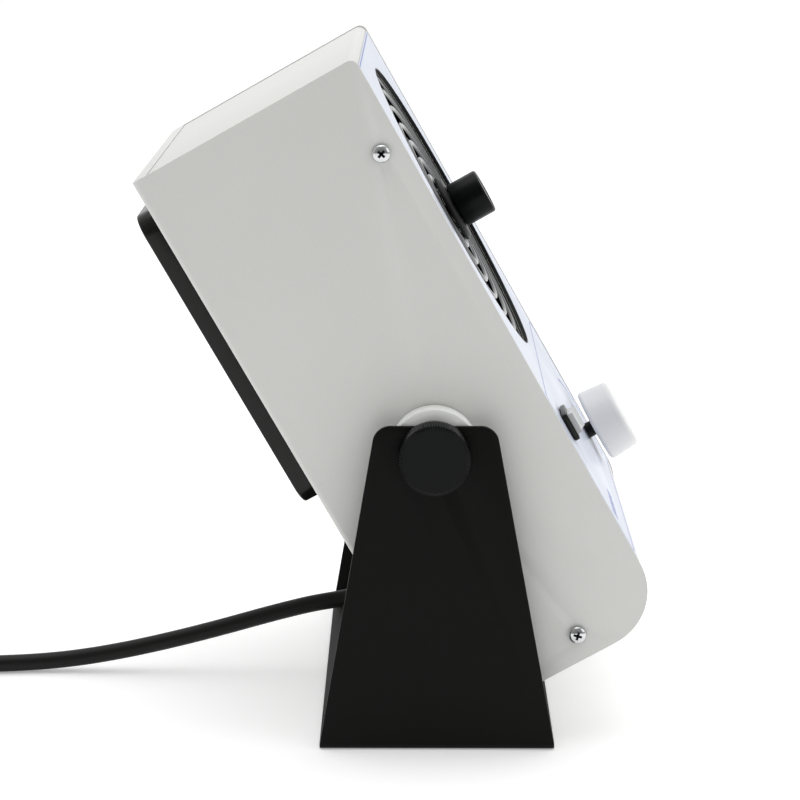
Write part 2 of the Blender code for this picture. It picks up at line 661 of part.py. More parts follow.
def make_speed_control():
    bush_top = -CHASSIS_REAR - GAP
    well = 3.3 * MM
    well_end = bush_top - 10 * MM
    profile = [(well, bush_top), (4.8 * MM, bush_top), (4.8 * MM, bush_top - 3 * MM),
               (8.2 * MM, bush_top - 3 * MM), (8.2 * MM, bush_top - 13 * MM), (0, bush_top - 13 * MM)]
    turned("speed_control", [(0, well_end), (well, well_end)] + profile, MOTOR_GREY, speed_axis, steps=24)

    low = -FRONT + SPEED_STANDOFF
    top = low + SPEED_THICKNESS
    bore_end = top - 3 * MM
    edge = 1.6 * MM
    arc = [(edge * (1 - sin(angle)), edge * cos(angle)) for angle in (0, pi / 4, pi / 2)]
    crown = [(SPEED_FACE_RADIUS - inset, top - edge + height) for inset, height in arc]
    belly = [(SPEED_RADIUS - inset, low + edge - height) for inset, height in reversed(arc)]
    profile = [(0, top)] + crown + belly + [(well, low), (well, bore_end), (0, bore_end)]
    turned("speed_knob", profile, KNOB_PALE, speed_axis, steps=32)
    turned("speed_shaft", disc(SHAFT_RADIUS, bore_end - GAP, well_end + GAP, 0.3 * MM), KNOB_BLACK,
           speed_axis, steps=20)


def make_switch():
    """A black bezel and body through the panel, holding a pale rocker that tips about Z."""
    bezel_low = -OVERLAY_FRONT + GAP
    bezel_top = -FRONT + BEZEL_PROUD
    deep = -CHASSIS_REAR - 14 * MM
    centre = (SWITCH_X, SWITCH_HEIGHT)
    switch = prism("switch_body", rectangle(BEZEL_WIDTH, BEZEL_HEIGHT, MM, *centre), bezel_low, bezel_top,
                   FACING, GLOSS_BLACK, housing)
    weld(switch, prism("switch_barrel", rectangle(12.8 * MM, 9.2 * MM, 0, *centre), deep,
                       bezel_low + 0.2 * MM, FACING, parent=housing))
    cut(switch, prism("switch_well", rectangle(11.9 * MM, 8.4 * MM, 0, *centre), deep + 4 * MM,
                      bezel_top + MM, FACING, parent=housing))
    outline = [(-4.6, 6.6, 0.8), (0, 5.5), (4.6, 6.6, 0.8), (5.3, 1.0), (2, -3.5), (-2, -3.5), (-5.3, 1.0)]
    corners = [(x * MM, -v * MM, *(r * MM for r in radius)) for x, v, *radius in outline]
    rocker = prism("rocker", corners, -3.9 * MM, 3.9 * MM, LYING, ROCKER_PALE, rocker_axis)
    rocker.data.transform(Matrix.Rotation(-ROCKER_TIP, 4, "Z"))


def make_electronics():
    """The circuit board on four standoffs over the chassis floor, with a power module on it."""
    floor = BOTTOM + 0.3 * MM + CHASSIS_SHEET + GAP
    board_low = floor + 8 * MM
    board_high = board_low + 1.6 * MM
    board = box("circuit_board", (-52 * MM, -18 * MM, board_low), (52 * MM, 36 * MM, board_high), BOARD_GREEN,
                housing)
    for number, (x, y) in enumerate(((-46, -12), (46, -12), (-46, 30), (46, 30)), start=1):
        spot = (x * MM, y * MM)
        cut(board, cylinder(f"board_hole_{number}", (*spot, board_low - MM), (*spot, board_high + MM),
                            1.9 * MM, parent=housing, sides=12))
        post = frame(f"post_axis_{number}", (*spot, 0), (0, 0, 0), housing)
        profile = [(0, board_high + 2 * MM), (1.5 * MM, board_high + 2 * MM), (1.5 * MM, board_low - GAP),
                   (3 * MM, board_low - GAP), (3 * MM, floor), (0, floor)]
        turned(f"board_standoff_{number}", profile, BRASS, post, steps=6)
    module = box("power_module", (-24 * MM, -8 * MM, board_high + GAP),
                 (24 * MM, 26 * MM, board_high + 22 * MM), GLOSS_BLACK, housing)
    soften(module, 1.5 * MM)


# Mains lead

def smooth_route(points, spacing):
    """Points about one spacing apart on a smooth curve through the route's points."""
    slopes = []
    for index in range(len(points)):
        before = points[max(index - 1, 0)]
        after = points[min(index + 1, len(points) - 1)]
        slopes.append((after - before) / (2 if 0 < index < len(points) - 1 else 1))
    path = [points[0]]
    for index in range(len(points) - 1):
        start = points[index]
        end = points[index + 1]
        steps = max(1, round((end - start).length / spacing))
        bezier = interpolate_bezier(start, start + slopes[index] / 3, end - slopes[index + 1] / 3, end,
                                    steps + 1)
        path.extend(bezier[1:])
    return path


def make_lead():
    """The strain relief, the cord down to the bench, the coil, the tail and the plug."""
    seat = BACK + GAP
    flange = seat + 2 * MM
    boot_end = BACK + 2.3 * MM + BOOT_LENGTH
    profile = [(0, boot_end), (4.5 * MM, boot_end), (5.8 * MM, flange), (7.5 * MM, flange), (7.5 * MM, seat),
               (5.5 * MM, seat), (5.5 * MM, BACK - 6 * MM), (0, BACK - 6 * MM)]
    turned("strain_relief", profile, CORD_BLACK, cord_axis, steps=24)

    bpy.context.view_layer.update()
    leave = cord_axis.matrix_world @ Vector((0, 0, boot_end + GAP))
    route = [leave] + [Vector(point) * MM for point in CORD_ROUTE]
    tube("power_cord", smooth_route(route, 2.2 * 2 * CORD_RADIUS), CORD_RADIUS, CORD_BLACK)

    centre = Vector((*COIL_CENTRE, 0))
    coil = turned("cord_coil", washer(COIL_OUTER, COIL_INNER, COIL_HEIGHT, 0, 2 * MM), CORD_BLACK,
                  steps=40, closed=True)
    coil.location = centre

    # The tail leaves the top layer's outer turn along its tangent, clockwise from above
    outward = Vector((cos(TAIL_ANGLE), sin(TAIL_ANGLE), 0))
    along = Vector((outward.y, -outward.x, 0))
    mid_turn = COIL_OUTER - CORD_RADIUS
    touch = (COIL_OUTER ** 2 - (mid_turn - CORD_RADIUS) ** 2) ** 0.5
    rest = Vector((0, 0, COIL_HEIGHT - CORD_RADIUS - 0.1 * MM))
    tail_start = centre + outward * mid_turn + along * (touch + GAP) + rest
    drop = Vector((0, 0, PLUG_THICKNESS / 2 - rest.z))
    tail = [tail_start + along * TAIL_LENGTH * reach + drop * fall
            for reach, fall in ((0, 0), (1 / 3, 0.1), (2 / 3, 0.35), (1, 0.55))]
    tube("cord_tail", tail, CORD_RADIUS, CORD_BLACK)

    heading = tail[-1] - tail[-2]
    level = Vector((heading.x, heading.y, 0)).normalized()
    nose = tail[-1] + level * (2 * GAP)
    plug = frame("plug_frame", (nose.x, nose.y, PLUG_THICKNESS / 2),
                 (0, 0, level.to_2d().angle_signed(Vector((1, 0)))))
    sleeve = 10 * MM
    body = prism("plug_body", rectangle(PLUG_LENGTH, PLUG_WIDTH, 4 * MM, sleeve + PLUG_LENGTH / 2, 0),
                 -PLUG_THICKNESS / 2, PLUG_THICKNESS / 2, LYING, CORD_BLACK, plug)
    droop = tail[-1].z - PLUG_THICKNESS / 2
    weld(body, cylinder("plug_sleeve", (0, 0, droop), (sleeve + 4 * MM, 0, 0), 4.8 * MM, parent=plug,
                        sides=16))
    face = sleeve + PLUG_LENGTH + GAP
    reach = face + 16 * MM
    for name, y in (("plug_pin_line", -6.4 * MM), ("plug_pin_neutral", 6.4 * MM)):
        box(name, (face, y - 0.8 * MM, -MM), (reach, y + 0.8 * MM, 5.2 * MM), BRASS, plug)
    cylinder("plug_pin_earth", (face, 0, -4.6 * MM), (reach + 2 * MM, 0, -4.6 * MM), 2.3 * MM, BRASS, plug,
             sides=12)


make_stand()
make_side_hardware("left", -1)
make_side_hardware("right", 1)
make_rear_cover()
make_front_chassis()
make_front_overlay()
make_housing_screws()
spokes, hub_face = make_guard()
make_centre_knob(spokes, hub_face)
make_fan(spokes)
make_filter()
make_speed_control()
make_switch()
make_electronics()
make_lead()
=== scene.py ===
"""The looks of a benchtop fan box on a tilting bracket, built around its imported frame.

Everything is in metres in the frame's own axes: the bracket stands on Z = 0 and the front faces -Y.
Housing pieces are modelled upright, measured from the tilt axis, and are then leaned back.
"""
import json
from math import atan2, cos, pi, radians, sin

import bmesh
import bpy
from mathutils import Matrix, Vector
from mathutils.geometry import interpolate_bezier


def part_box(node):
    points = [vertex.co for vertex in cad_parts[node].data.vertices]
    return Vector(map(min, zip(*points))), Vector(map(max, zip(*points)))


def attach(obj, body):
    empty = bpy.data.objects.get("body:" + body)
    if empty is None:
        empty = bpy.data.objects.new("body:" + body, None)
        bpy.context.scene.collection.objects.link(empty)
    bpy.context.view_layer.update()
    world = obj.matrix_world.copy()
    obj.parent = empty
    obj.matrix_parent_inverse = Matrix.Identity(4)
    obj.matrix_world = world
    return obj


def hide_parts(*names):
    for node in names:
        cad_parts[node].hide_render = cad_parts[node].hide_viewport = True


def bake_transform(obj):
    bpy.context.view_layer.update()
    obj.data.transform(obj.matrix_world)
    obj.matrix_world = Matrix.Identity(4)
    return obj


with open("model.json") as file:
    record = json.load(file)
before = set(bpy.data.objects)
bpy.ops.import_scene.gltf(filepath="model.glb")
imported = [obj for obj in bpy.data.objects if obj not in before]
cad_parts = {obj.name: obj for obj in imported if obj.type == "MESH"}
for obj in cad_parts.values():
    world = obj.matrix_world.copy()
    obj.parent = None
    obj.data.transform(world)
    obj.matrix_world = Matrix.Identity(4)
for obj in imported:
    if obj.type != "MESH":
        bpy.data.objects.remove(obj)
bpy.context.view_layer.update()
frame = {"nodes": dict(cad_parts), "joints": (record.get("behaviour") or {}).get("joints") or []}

# Camera: a long lens beside the object, a little above it, level with the side of the housing.
CAMERA_PLACE = Vector((-0.8709, 0.0089, 0.3125))
CAMERA_HEADING = Vector((0.9729, 0.0048, -0.2311))
LENS = 109.07

camera = bpy.data.objects.new("camera", bpy.data.cameras.new("camera"))
bpy.context.scene.collection.objects.link(camera)
camera.location = CAMERA_PLACE
camera.rotation_euler = CAMERA_HEADING.to_track_quat("-Z", "Y").to_euler()
camera.data.lens = LENS
bpy.context.scene.camera = camera


# Mains lead: round flexible cord with a moulded jacket. It leaves a boot on the back, drops to the
# bench and is put away as a coil of two flat layers, wound inwards below and outwards above.
MM = 0.001
LEAD_RADIUS = 3.15 * MM
TOUCH = 0.1 * MM
COIL_TURNS = 3
POINTS_IN_A_TURN = 48
LEAD_ROUTE = [
    (0, 29.3, 30.4), (0, 34, 29.05), (0, 40, 27.95), (0, 47, 26.6), (0, 56, 24.35), (0, 66, 21.6),
    (0, 76, 18.7), (0, 86, 15.9), (0, 96, 13.25), (0, 106, 10.8), (0, 117, 8.35), (0, 129, 6.1),
    (0, 141, 4.4), (-0.5, 153, 3.5), (-1.5, 165, 3.25), (-2.6, 177, 3.25), (-3.6, 189, 3.25),
    (-4.2, 200, 3.25), (-4.5, 209.9, 3.25), (-4.5, 218, 3.25), (-4.5, 227, 3.25)]
TAIL_DROPS = (0, 0.1, 0.35, 0.55)
PLUG_CENTRE_HEIGHT = 8 * MM


# Fits and places that more than one section uses
GAP = 0.3 * MM
PIVOT_HOLE = 3.5 * MM
SHARP_ANGLE = 35
joints = {joint["name"]: joint for joint in frame["joints"]}
PIVOT = Vector(joints["housing_tilt"]["pos_m"])
front = Vector(joints["fan_spin"]["axis"])
LEAN = atan2(front.z, -front.y)
HOUSING = Matrix.Translation(PIVOT) @ Matrix.Rotation(-LEAN, 4, "X")


def upright_box(node):
    """A housing node's lowest and highest corners with the housing upright, from the tilt axis."""
    upright = HOUSING.inverted()
    points = [upright @ vertex.co for vertex in frame["nodes"][node].data.vertices]
    return (Vector([min(point[axis] for point in points) for axis in range(3)]),
            Vector([max(point[axis] for point in points) for axis in range(3)]))


def clear_selection():
    bpy.ops.object.select_all(action="DESELECT")


def take(piece):
    """Selects one piece alone and makes it the active one."""
    clear_selection()
    piece.select_set(True)
    bpy.context.view_layer.objects.active = piece
    return piece


def smooth_route(points, spacing):
    """Points about one spacing apart on a smooth curve through the route's points."""
    slopes = []
    for index in range(len(points)):
        before = points[max(index - 1, 0)]
        after = points[min(index + 1, len(points) - 1)]
        slopes.append((after - before) / (2 if 0 < index < len(points) - 1 else 1))
    path = [points[0]]
    for index in range(len(points) - 1):
        start = points[index]
        end = points[index + 1]
        steps = max(1, round((end - start).length / spacing))
        path.extend(interpolate_bezier(start, start + slopes[index] / 3, end - slopes[index + 1] / 3, end,
                                       steps + 1)[1:])
    return path


def tube(name, path, radius, roundness=5):
    """A round bar with closed ends along a path."""
    curve = bpy.data.curves.new(name, "CURVE")
    curve.dimensions = "3D"
    curve.bevel_depth = radius
    curve.bevel_resolution = roundness
    curve.use_fill_caps = True
    spline = curve.splines.new("POLY")
    spline.points.add(len(path) - 1)
    for spot, point in zip(spline.points, path):
        spot.co = (*point, 1)
    piece = bpy.data.objects.new(name, curve)
    bpy.context.scene.collection.objects.link(piece)
    take(piece)
    bpy.ops.object.convert(target="MESH")
    merge_doubles(piece)
    bpy.ops.object.shade_smooth_by_angle(angle=radians(50))
    return piece


def merge_doubles(piece):
    """Merges points that lie on each other and turns every face outwards."""
    take(piece)
    bpy.ops.object.mode_set(mode="EDIT")
    bpy.ops.mesh.select_all(action="SELECT")
    bpy.ops.mesh.remove_doubles(threshold=0.001 * MM)
    bpy.ops.mesh.normals_make_consistent(inside=False)
    bpy.ops.object.mode_set(mode="OBJECT")


coil_low, coil_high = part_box("cord_coil")
coil_middle = (coil_low + coil_high) / 2
rest_height = LEAD_RADIUS + TOUCH
pitch = 2 * LEAD_RADIUS + TOUCH
outer_turn = (coil_high.x - coil_low.x) / 2 - rest_height
inner_turn = outer_turn - COIL_TURNS * pitch
relief_low, relief_high = upright_box("strain_relief")
lead_exit = HOUSING @ Vector((0, relief_high.y + GAP, (relief_low.z + relief_high.z) / 2))
lead_path = smooth_route([lead_exit] + [Vector(point) * MM for point in LEAD_ROUTE], 3 * MM)

spiral = COIL_TURNS * POINTS_IN_A_TURN
climb = POINTS_IN_A_TURN // 4
for step in range(2 * spiral + climb + 1):
    angle = pi - 2 * pi * step / POINTS_IN_A_TURN
    inwards = min(step, spiral) / spiral
    outwards = max(0, step - spiral - climb) / spiral
    rise = min(max((step - spiral) / climb, 0), 1)
    radius = outer_turn + (inner_turn - outer_turn) * (inwards - outwards)
    height = rest_height + pitch * rise * rise * (3 - 2 * rise)
    lead_path.append(Vector((coil_middle.x + radius * cos(angle), coil_middle.y + radius * sin(angle),
                             height)))

tail_low, tail_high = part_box("cord_tail")
coil_end = lead_path[-1]
for share in (0.25, 0.5, 0.75):
    lead_path.append(coil_end.lerp(Vector((tail_low.x, coil_end.y, coil_end.z)), share))
tail_thirds = [coil_end.z + drop * (PLUG_CENTRE_HEIGHT - coil_end.z) for drop in TAIL_DROPS]
for third, height in enumerate(tail_thirds):
    reach = tail_low.x + (tail_high.x - tail_low.x) * third / 3
    lead_path.append(Vector((reach, coil_end.y, height)))

lead = tube("mains_lead", lead_path, LEAD_RADIUS, 6)


def new_group(name, inputs, outputs):
    """A shader node group with named sockets, each a name, a kind and, for an input, a starting value."""
    group = bpy.data.node_groups.new(name, "ShaderNodeTree")
    for label, kind, value in inputs:
        group.interface.new_socket(label, in_out="INPUT", socket_type=kind).default_value = value
    for label, kind in outputs:
        group.interface.new_socket(label, in_out="OUTPUT", socket_type=kind)
    return group, group.nodes.new("NodeGroupInput").outputs, group.nodes.new("NodeGroupOutput").inputs


def fine_grain_group():
    """A grained skin: two sizes of bump, and a slow drift of gloss and of shade."""
    group, given, out = new_group(
        "fine_grain",
        [("Scale", "NodeSocketFloat", 900.0), ("Depth", "NodeSocketFloat", 0.2),
         ("Roughness", "NodeSocketFloat", 0.5), ("Drift", "NodeSocketFloat", 0.05),
         ("Colour", "NodeSocketColor", (0.5, 0.5, 0.5, 1)), ("Shade", "NodeSocketFloat", 0.06)],
        [("Colour", "NodeSocketColor"), ("Roughness", "NodeSocketFloat"), ("Normal", "NodeSocketVector")])
    nodes = group.nodes
    link = group.links.new
    place = nodes.new("ShaderNodeTexCoord").outputs["Object"]
    fine = nodes.new("ShaderNodeTexNoise")
    fine.inputs["Detail"].default_value = 3
    link(place, fine.inputs["Vector"])
    link(given["Scale"], fine.inputs["Scale"])
    slow = nodes.new("ShaderNodeTexNoise")
    slow.inputs["Scale"].default_value = 22
    slow.inputs["Detail"].default_value = 4
    link(place, slow.inputs["Vector"])
    bump = nodes.new("ShaderNodeBump")
    bump.inputs["Distance"].default_value = 0.1 * MM
    link(fine.outputs["Fac"], bump.inputs["Height"])
    link(given["Depth"], bump.inputs["Strength"])
    link(bump.outputs["Normal"], out["Normal"])
    drift = nodes.new("ShaderNodeMath")
    drift.operation = "MULTIPLY_ADD"
    centred = nodes.new("ShaderNodeMath")
    centred.operation = "SUBTRACT"
    centred.inputs[1].default_value = 0.5
    link(slow.outputs["Fac"], centred.inputs[0])
    link(centred.outputs[0], drift.inputs[0])
    link(given["Drift"], drift.inputs[1])
    link(given["Roughness"], drift.inputs[2])
    link(drift.outputs[0], out["Roughness"])
    speckle = nodes.new("ShaderNodeMath")
    speckle.operation = "ADD"
    link(centred.outputs[0], speckle.inputs[0])
    spread = nodes.new("ShaderNodeMath")
    spread.operation = "SUBTRACT"
    spread.inputs[1].default_value = 0.5
    link(fine.outputs["Fac"], spread.inputs[0])
    link(spread.outputs[0], speckle.inputs[1])
    amount = nodes.new("ShaderNodeMath")
    amount.operation = "MULTIPLY_ADD"
    amount.inputs[2].default_value = 1
    link(speckle.outputs[0], amount.inputs[0])
    link(given["Shade"], amount.inputs[1])
    tint = nodes.new("ShaderNodeVectorMath")
    tint.operation = "SCALE"
    link(given["Colour"], tint.inputs[0])
    link(amount.outputs[0], tint.inputs["Scale"])
    link(tint.outputs[0], out["Colour"])
    return group


FINE_GRAIN = fine_grain_group()


def display(red, green, blue):
    """A colour of 0 to 255, as a screen shows it, in linear light."""
    return tuple((value / 255 / 12.92 if value <= 10 else ((value / 255 + 0.055) / 1.055) ** 2.4)
                 for value in (red, green, blue)) + (1,)


def grained(name, colour, roughness, scale=900, depth=0.2, drift=0.08, shade=0.06, metallic=0.0,
            specular=0.5):
    """A Principled material whose colour, gloss and bump all vary a little over the surface."""
    material = bpy.data.materials.new(name)
    material.use_nodes = True
    tree = material.node_tree
    shader = tree.nodes["Principled BSDF"]
    shader.inputs["Metallic"].default_value = metallic
    shader.inputs["Specular IOR Level"].default_value = specular
    skin = tree.nodes.new("ShaderNodeGroup")
    skin.node_tree = FINE_GRAIN
    skin.inputs["Scale"].default_value = scale
    skin.inputs["Depth"].default_value = depth
    skin.inputs["Roughness"].default_value = roughness
    skin.inputs["Drift"].default_value = drift
    skin.inputs["Colour"].default_value = display(*colour)
    skin.inputs["Shade"].default_value = shade
    tree.links.new(skin.outputs["Colour"], shader.inputs["Base Color"])
    tree.links.new(skin.outputs["Roughness"], shader.inputs["Roughness"])
    tree.links.new(skin.outputs["Normal"], shader.inputs["Normal"])
    return material


def hand_over(piece, name, material, body, slot, *nodes):
    """Names a finished piece, gives it its one material, and ties it to its body and CAD nodes. The slot is
    not used.
    """
    piece.name = name
    piece.data.name = name
    piece.data.materials.clear()
    piece.data.materials.append(material)
    if body:
        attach(piece, body)
    if nodes:
        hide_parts(*nodes)
    return piece


LEAD_BLACK = grained("lead_black", (10, 11, 9), 0.5, scale=420, depth=0.12, drift=0.15, specular=0.25)
hand_over(lead, "mains_lead", LEAD_BLACK, None, "cord_black", "power_cord", "cord_coil", "cord_tail")
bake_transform(lead)


# Plug: a moulded mains plug on the lead's end, with a ribbed grip, and three solid brass pins.
PLUG_RIBS = 5
PLUG_RIB = 2 * MM
PLUG_WAIST = 0.9
PLUG_CORNER = 4 * MM
PLUG_SLEEVE = 10 * MM
SLEEVE_RADIUS = 4.8 * MM
SLEEVE_WAIST = 4.1 * MM
SLEEVE_LENGTH = 12 * MM
SLEEVE_NOSE = [(0, 0), (4.4 * MM, 0), (4.4 * MM, 1.6 * MM), (3.9 * MM, 1.6 * MM), (3.9 * MM, 2.8 * MM)]
SLEEVE_RIB_PITCH = 2.4 * MM
SLEEVE_RIB = 1.4 * MM
PIN_TIP = 0.7 * MM
EARTH_ROUNDING = 2.2 * MM


def middle_of(edge):
    return (edge.verts[0].co + edge.verts[1].co) / 2


def pick(kind, wanted):
    """Selects the wanted faces, edges or points of the piece that is in edit mode."""
    bpy.ops.mesh.select_mode(type=kind)
    bpy.ops.mesh.select_all(action="DESELECT")
    mesh = bpy.context.object.data
    bm = bmesh.from_edit_mesh(mesh)
    for item in {"VERT": bm.verts, "EDGE": bm.edges, "FACE": bm.faces}[kind]:
        if wanted(item):
            item.select_set(True)
    bm.select_flush_mode()
    bmesh.update_edit_mesh(mesh)


def block(low, high):
    """A box between two corners, in edit mode."""
    low = Vector(low)
    high = Vector(high)
    clear_selection()
    bpy.ops.mesh.primitive_cube_add(size=1, location=(low + high) / 2, scale=high - low)
    bpy.ops.object.transform_apply(location=True, rotation=True, scale=True)
    bpy.ops.object.mode_set(mode="EDIT")
    return bpy.context.object


def leave_edit():
    bpy.ops.object.mode_set(mode="OBJECT")


def apply(piece, kind, **settings):
    """Adds a modifier with its settings to a piece and applies it."""
    take(piece)
    modifier = piece.modifiers.new(kind.lower(), kind)
    for setting, value in settings.items():
        setattr(modifier, setting, value)
    bpy.ops.object.modifier_apply(modifier=modifier.name)


def soften(piece, width, segments=3, angle=SHARP_ANGLE):
    """Rounds a piece's sharp edges and shades it smooth."""
    apply(piece, "BEVEL", width=width, segments=segments, limit_method="ANGLE",
          angle_limit=radians(angle), use_clamp_overlap=True)
    take(piece)
    bpy.ops.object.shade_smooth_by_angle(angle=radians(angle))


def turned(profile, steps=96, soft=0.0, closed=False, segments=3):
    """A profile of (radius, height) pairs turned about +Z, as on a lathe, with softened corners."""
    clear_selection()
    bpy.ops.mesh.primitive_plane_add(size=MM)
    piece = bpy.context.object
    bpy.ops.object.mode_set(mode="EDIT")
    bpy.ops.mesh.select_mode(type="VERT")
    bpy.ops.mesh.select_all(action="SELECT")
    bpy.ops.mesh.merge(type="CENTER")
    bpy.ops.transform.translate(value=(profile[0][0], 0, profile[0][1]))
    for (radius, height), (next_radius, next_height) in zip(profile, profile[1:]):
        bpy.ops.mesh.extrude_vertices_move(
            TRANSFORM_OT_translate={"value": (next_radius - radius, 0, next_height - height)})
    if closed:
        radius, height = profile[-1]
        bpy.ops.mesh.extrude_vertices_move(
            TRANSFORM_OT_translate={"value": (profile[0][0] - radius, 0, profile[0][1] - height)})
    bpy.ops.mesh.select_all(action="SELECT")
    bpy.ops.mesh.spin(steps=steps, angle=2 * pi, center=(0, 0, 0), axis=(0, 0, 1))
    leave_edit()
    merge_doubles(piece)
    if soft:
        soften(piece, soft, segments)
    else:
        bpy.ops.object.shade_smooth_by_angle(angle=radians(SHARP_ANGLE))
    return piece


def join(first, *others):
    """Joins pieces into the first one."""
    clear_selection()
    for piece in others:
        piece.select_set(True)
    first.select_set(True)
    bpy.context.view_layer.objects.active = first
    bpy.ops.object.join()
    return first


plug_low, plug_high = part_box("plug_body")
plug_middle = (plug_low + plug_high) / 2
grip_start = plug_low.x + PLUG_SLEEVE
plug = block((grip_start, plug_low.y, plug_low.z), plug_high)
pick("EDGE", lambda edge: abs(edge.verts[0].co.z - edge.verts[1].co.z) > MM)
bpy.ops.mesh.bevel(offset=PLUG_CORNER, segments=5, affect="EDGES")
for rib in range(1, 2 * PLUG_RIBS + 1):
    bpy.ops.mesh.select_all(action="SELECT")
    bpy.ops.mesh.bisect(plane_co=(grip_start + (1 + rib) * PLUG_RIB, 0, 0), plane_no=(1, 0, 0))
for rib in range(PLUG_RIBS):
    groove_start = grip_start + (2 + rib * 2) * PLUG_RIB
    pick("VERT", lambda vert: groove_start - TOUCH < vert.co.x < groove_start + PLUG_RIB + TOUCH)
    bpy.ops.transform.resize(value=(1, PLUG_WAIST, PLUG_WAIST), center_override=plug_middle)
leave_edit()
soften(plug, 1.0 * MM)
sleeve_profile = list(SLEEVE_NOSE)
for rib in range(3):
    low = SLEEVE_NOSE[-1][1] + SLEEVE_RIB_PITCH * rib
    sleeve_profile += [(SLEEVE_RADIUS, low), (SLEEVE_RADIUS, low + SLEEVE_RIB),
                       (SLEEVE_WAIST, low + SLEEVE_RIB), (SLEEVE_WAIST, low + SLEEVE_RIB_PITCH)]
sleeve_profile += [(SLEEVE_RADIUS, SLEEVE_LENGTH), (0, SLEEVE_LENGTH)]
sleeve = turned(sleeve_profile, steps=40, soft=0.25 * MM, segments=2)
sleeve_foot = Vector((plug_low.x, plug_middle.y, tail_thirds[-1]))
sleeve_run = Vector((PLUG_SLEEVE + PLUG_CORNER, 0, PLUG_CENTRE_HEIGHT - tail_thirds[-1]))
sleeve_turn = sleeve_run.to_track_quat("Z", "Y")
sleeve.data.transform(Matrix.Translation(sleeve_foot) @ sleeve_turn.to_matrix().to_4x4())
plug = join(plug, sleeve)
PLUG_BLACK = grained("plug_black", (18, 19, 18), 0.42, scale=700, depth=0.15, specular=0.25)
hand_over(plug, "mains_plug", PLUG_BLACK, "stand", "cord_black", "plug_body")

PIN_BRASS = grained("pin_brass", (196, 170, 104), 0.28, scale=1500, depth=0.05, drift=0.15, metallic=1.0)
for pin in ("line", "neutral", "earth"):
    pin_low, pin_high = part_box(f"plug_pin_{pin}")
    blade = block(pin_low, pin_high)
    pick("EDGE", lambda edge: middle_of(edge).x > pin_high.x - TOUCH)
    bpy.ops.mesh.bevel(offset=PIN_TIP, segments=4, affect="EDGES")
    if pin == "earth":
        pick("EDGE", lambda edge: abs(edge.verts[0].co.x - edge.verts[1].co.x) > 5 * MM)
        bpy.ops.mesh.bevel(offset=EARTH_ROUNDING, segments=6, affect="EDGES")
    leave_edit()
    soften(blade, 0.15 * MM, 2)
    hand_over(blade, f"pin_{pin}", PIN_BRASS, "stand", "brass", f"plug_pin_{pin}")


# Strain relief: a soft moulded boot that tapers from a round flange on the back to the lead.
BOOT_RIBS = 3
BOOT_TIP = 4.5 * MM
BOOT_GROWTH = 1.3 * MM
GROOVE_DEPTH = 0.5 * MM
FLANGE_RADIUS = 7.5 * MM
FLANGE_THICKNESS = 2 * MM
BOOT_FOOT = 6 * MM
FIRST_GROOVE = 3 * MM

flange_seat = upright_box("rear_cover")[1].y
flange_top = flange_seat + GAP + FLANGE_THICKNESS
boot_profile = [(0, relief_high.y), (BOOT_TIP, relief_high.y)]
boot_run = relief_high.y - flange_seat - FIRST_GROOVE
for rib in range(BOOT_RIBS):
    outer_low = relief_high.y - boot_run * (rib + 0.55) / BOOT_RIBS
    outer_end = relief_high.y - boot_run * (rib + 1) / BOOT_RIBS
    girth = BOOT_TIP + BOOT_GROWTH * (rib + 0.5) / BOOT_RIBS
    boot_profile += [(girth, outer_low), (girth - GROOVE_DEPTH, outer_low),
                     (girth - 0.8 * GROOVE_DEPTH, outer_end), (girth + 0.4 * GROOVE_DEPTH, outer_end)]
boot_profile += [(BOOT_FOOT, flange_top), (FLANGE_RADIUS, flange_top),
                 (FLANGE_RADIUS, flange_seat + GAP), (0, flange_seat + GAP)]
boot = turned(boot_profile, steps=48, soft=0.2 * MM, segments=2)


def facing_back(x, z):
    """Places a piece that points out of the back, its axis x across and z up on the upright housing."""
    return HOUSING @ Matrix.Translation((x, 0, z)) @ Matrix.Rotation(-pi / 2, 4, "X")


boot.data.transform(facing_back(0, (relief_low.z + relief_high.z) / 2))
hand_over(boot, "lead_boot", PLUG_BLACK, "housing", "cord_black", "strain_relief")


# Bracket: one strip of 2 mm steel bent into a U, its legs tapering upwards, powder coated black.
BRACKET_SHEET = 2 * MM
BEND_RADIUS = 2.6 * MM
LEG_TOP_DEPTH = 40.8 * MM
LEG_TOP_SHIFT = 0.75 * MM
LEG_CORNER = 5 * MM

bracket_low, bracket_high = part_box("stand_bracket")
bracket_foot = bracket_high.y - bracket_low.y
mid_sheet = BRACKET_SHEET / 2


def plane(width, depth, centre):
    """A flat sheet parallel to XY, in edit mode."""
    clear_selection()
    bpy.ops.mesh.primitive_plane_add(size=1)
    bpy.ops.object.mode_set(mode="EDIT")
    bpy.ops.transform.resize(value=(width, depth, 1))
    bpy.ops.transform.translate(value=centre)
    return bpy.context.object


def bore(piece, start, end, radius, steps=96):
    """Drills a round hole between two points."""
    run = Vector(end) - Vector(start)
    clear_selection()
    bpy.ops.mesh.primitive_cylinder_add(vertices=steps, radius=radius, depth=run.length)
    drill = bpy.context.object
    drill.data.transform(Matrix.Translation((Vector(start) + Vector(end)) / 2)
                         @ run.to_track_quat("Z", "Y").to_matrix().to_4x4())
    cut_with(piece, drill)


def cut_with(piece, tool):
    """Cuts a tool's shape out of a piece and throws the tool away."""
    apply(piece, "BOOLEAN", object=tool, operation="DIFFERENCE", solver="EXACT")
    bpy.data.objects.remove(tool)


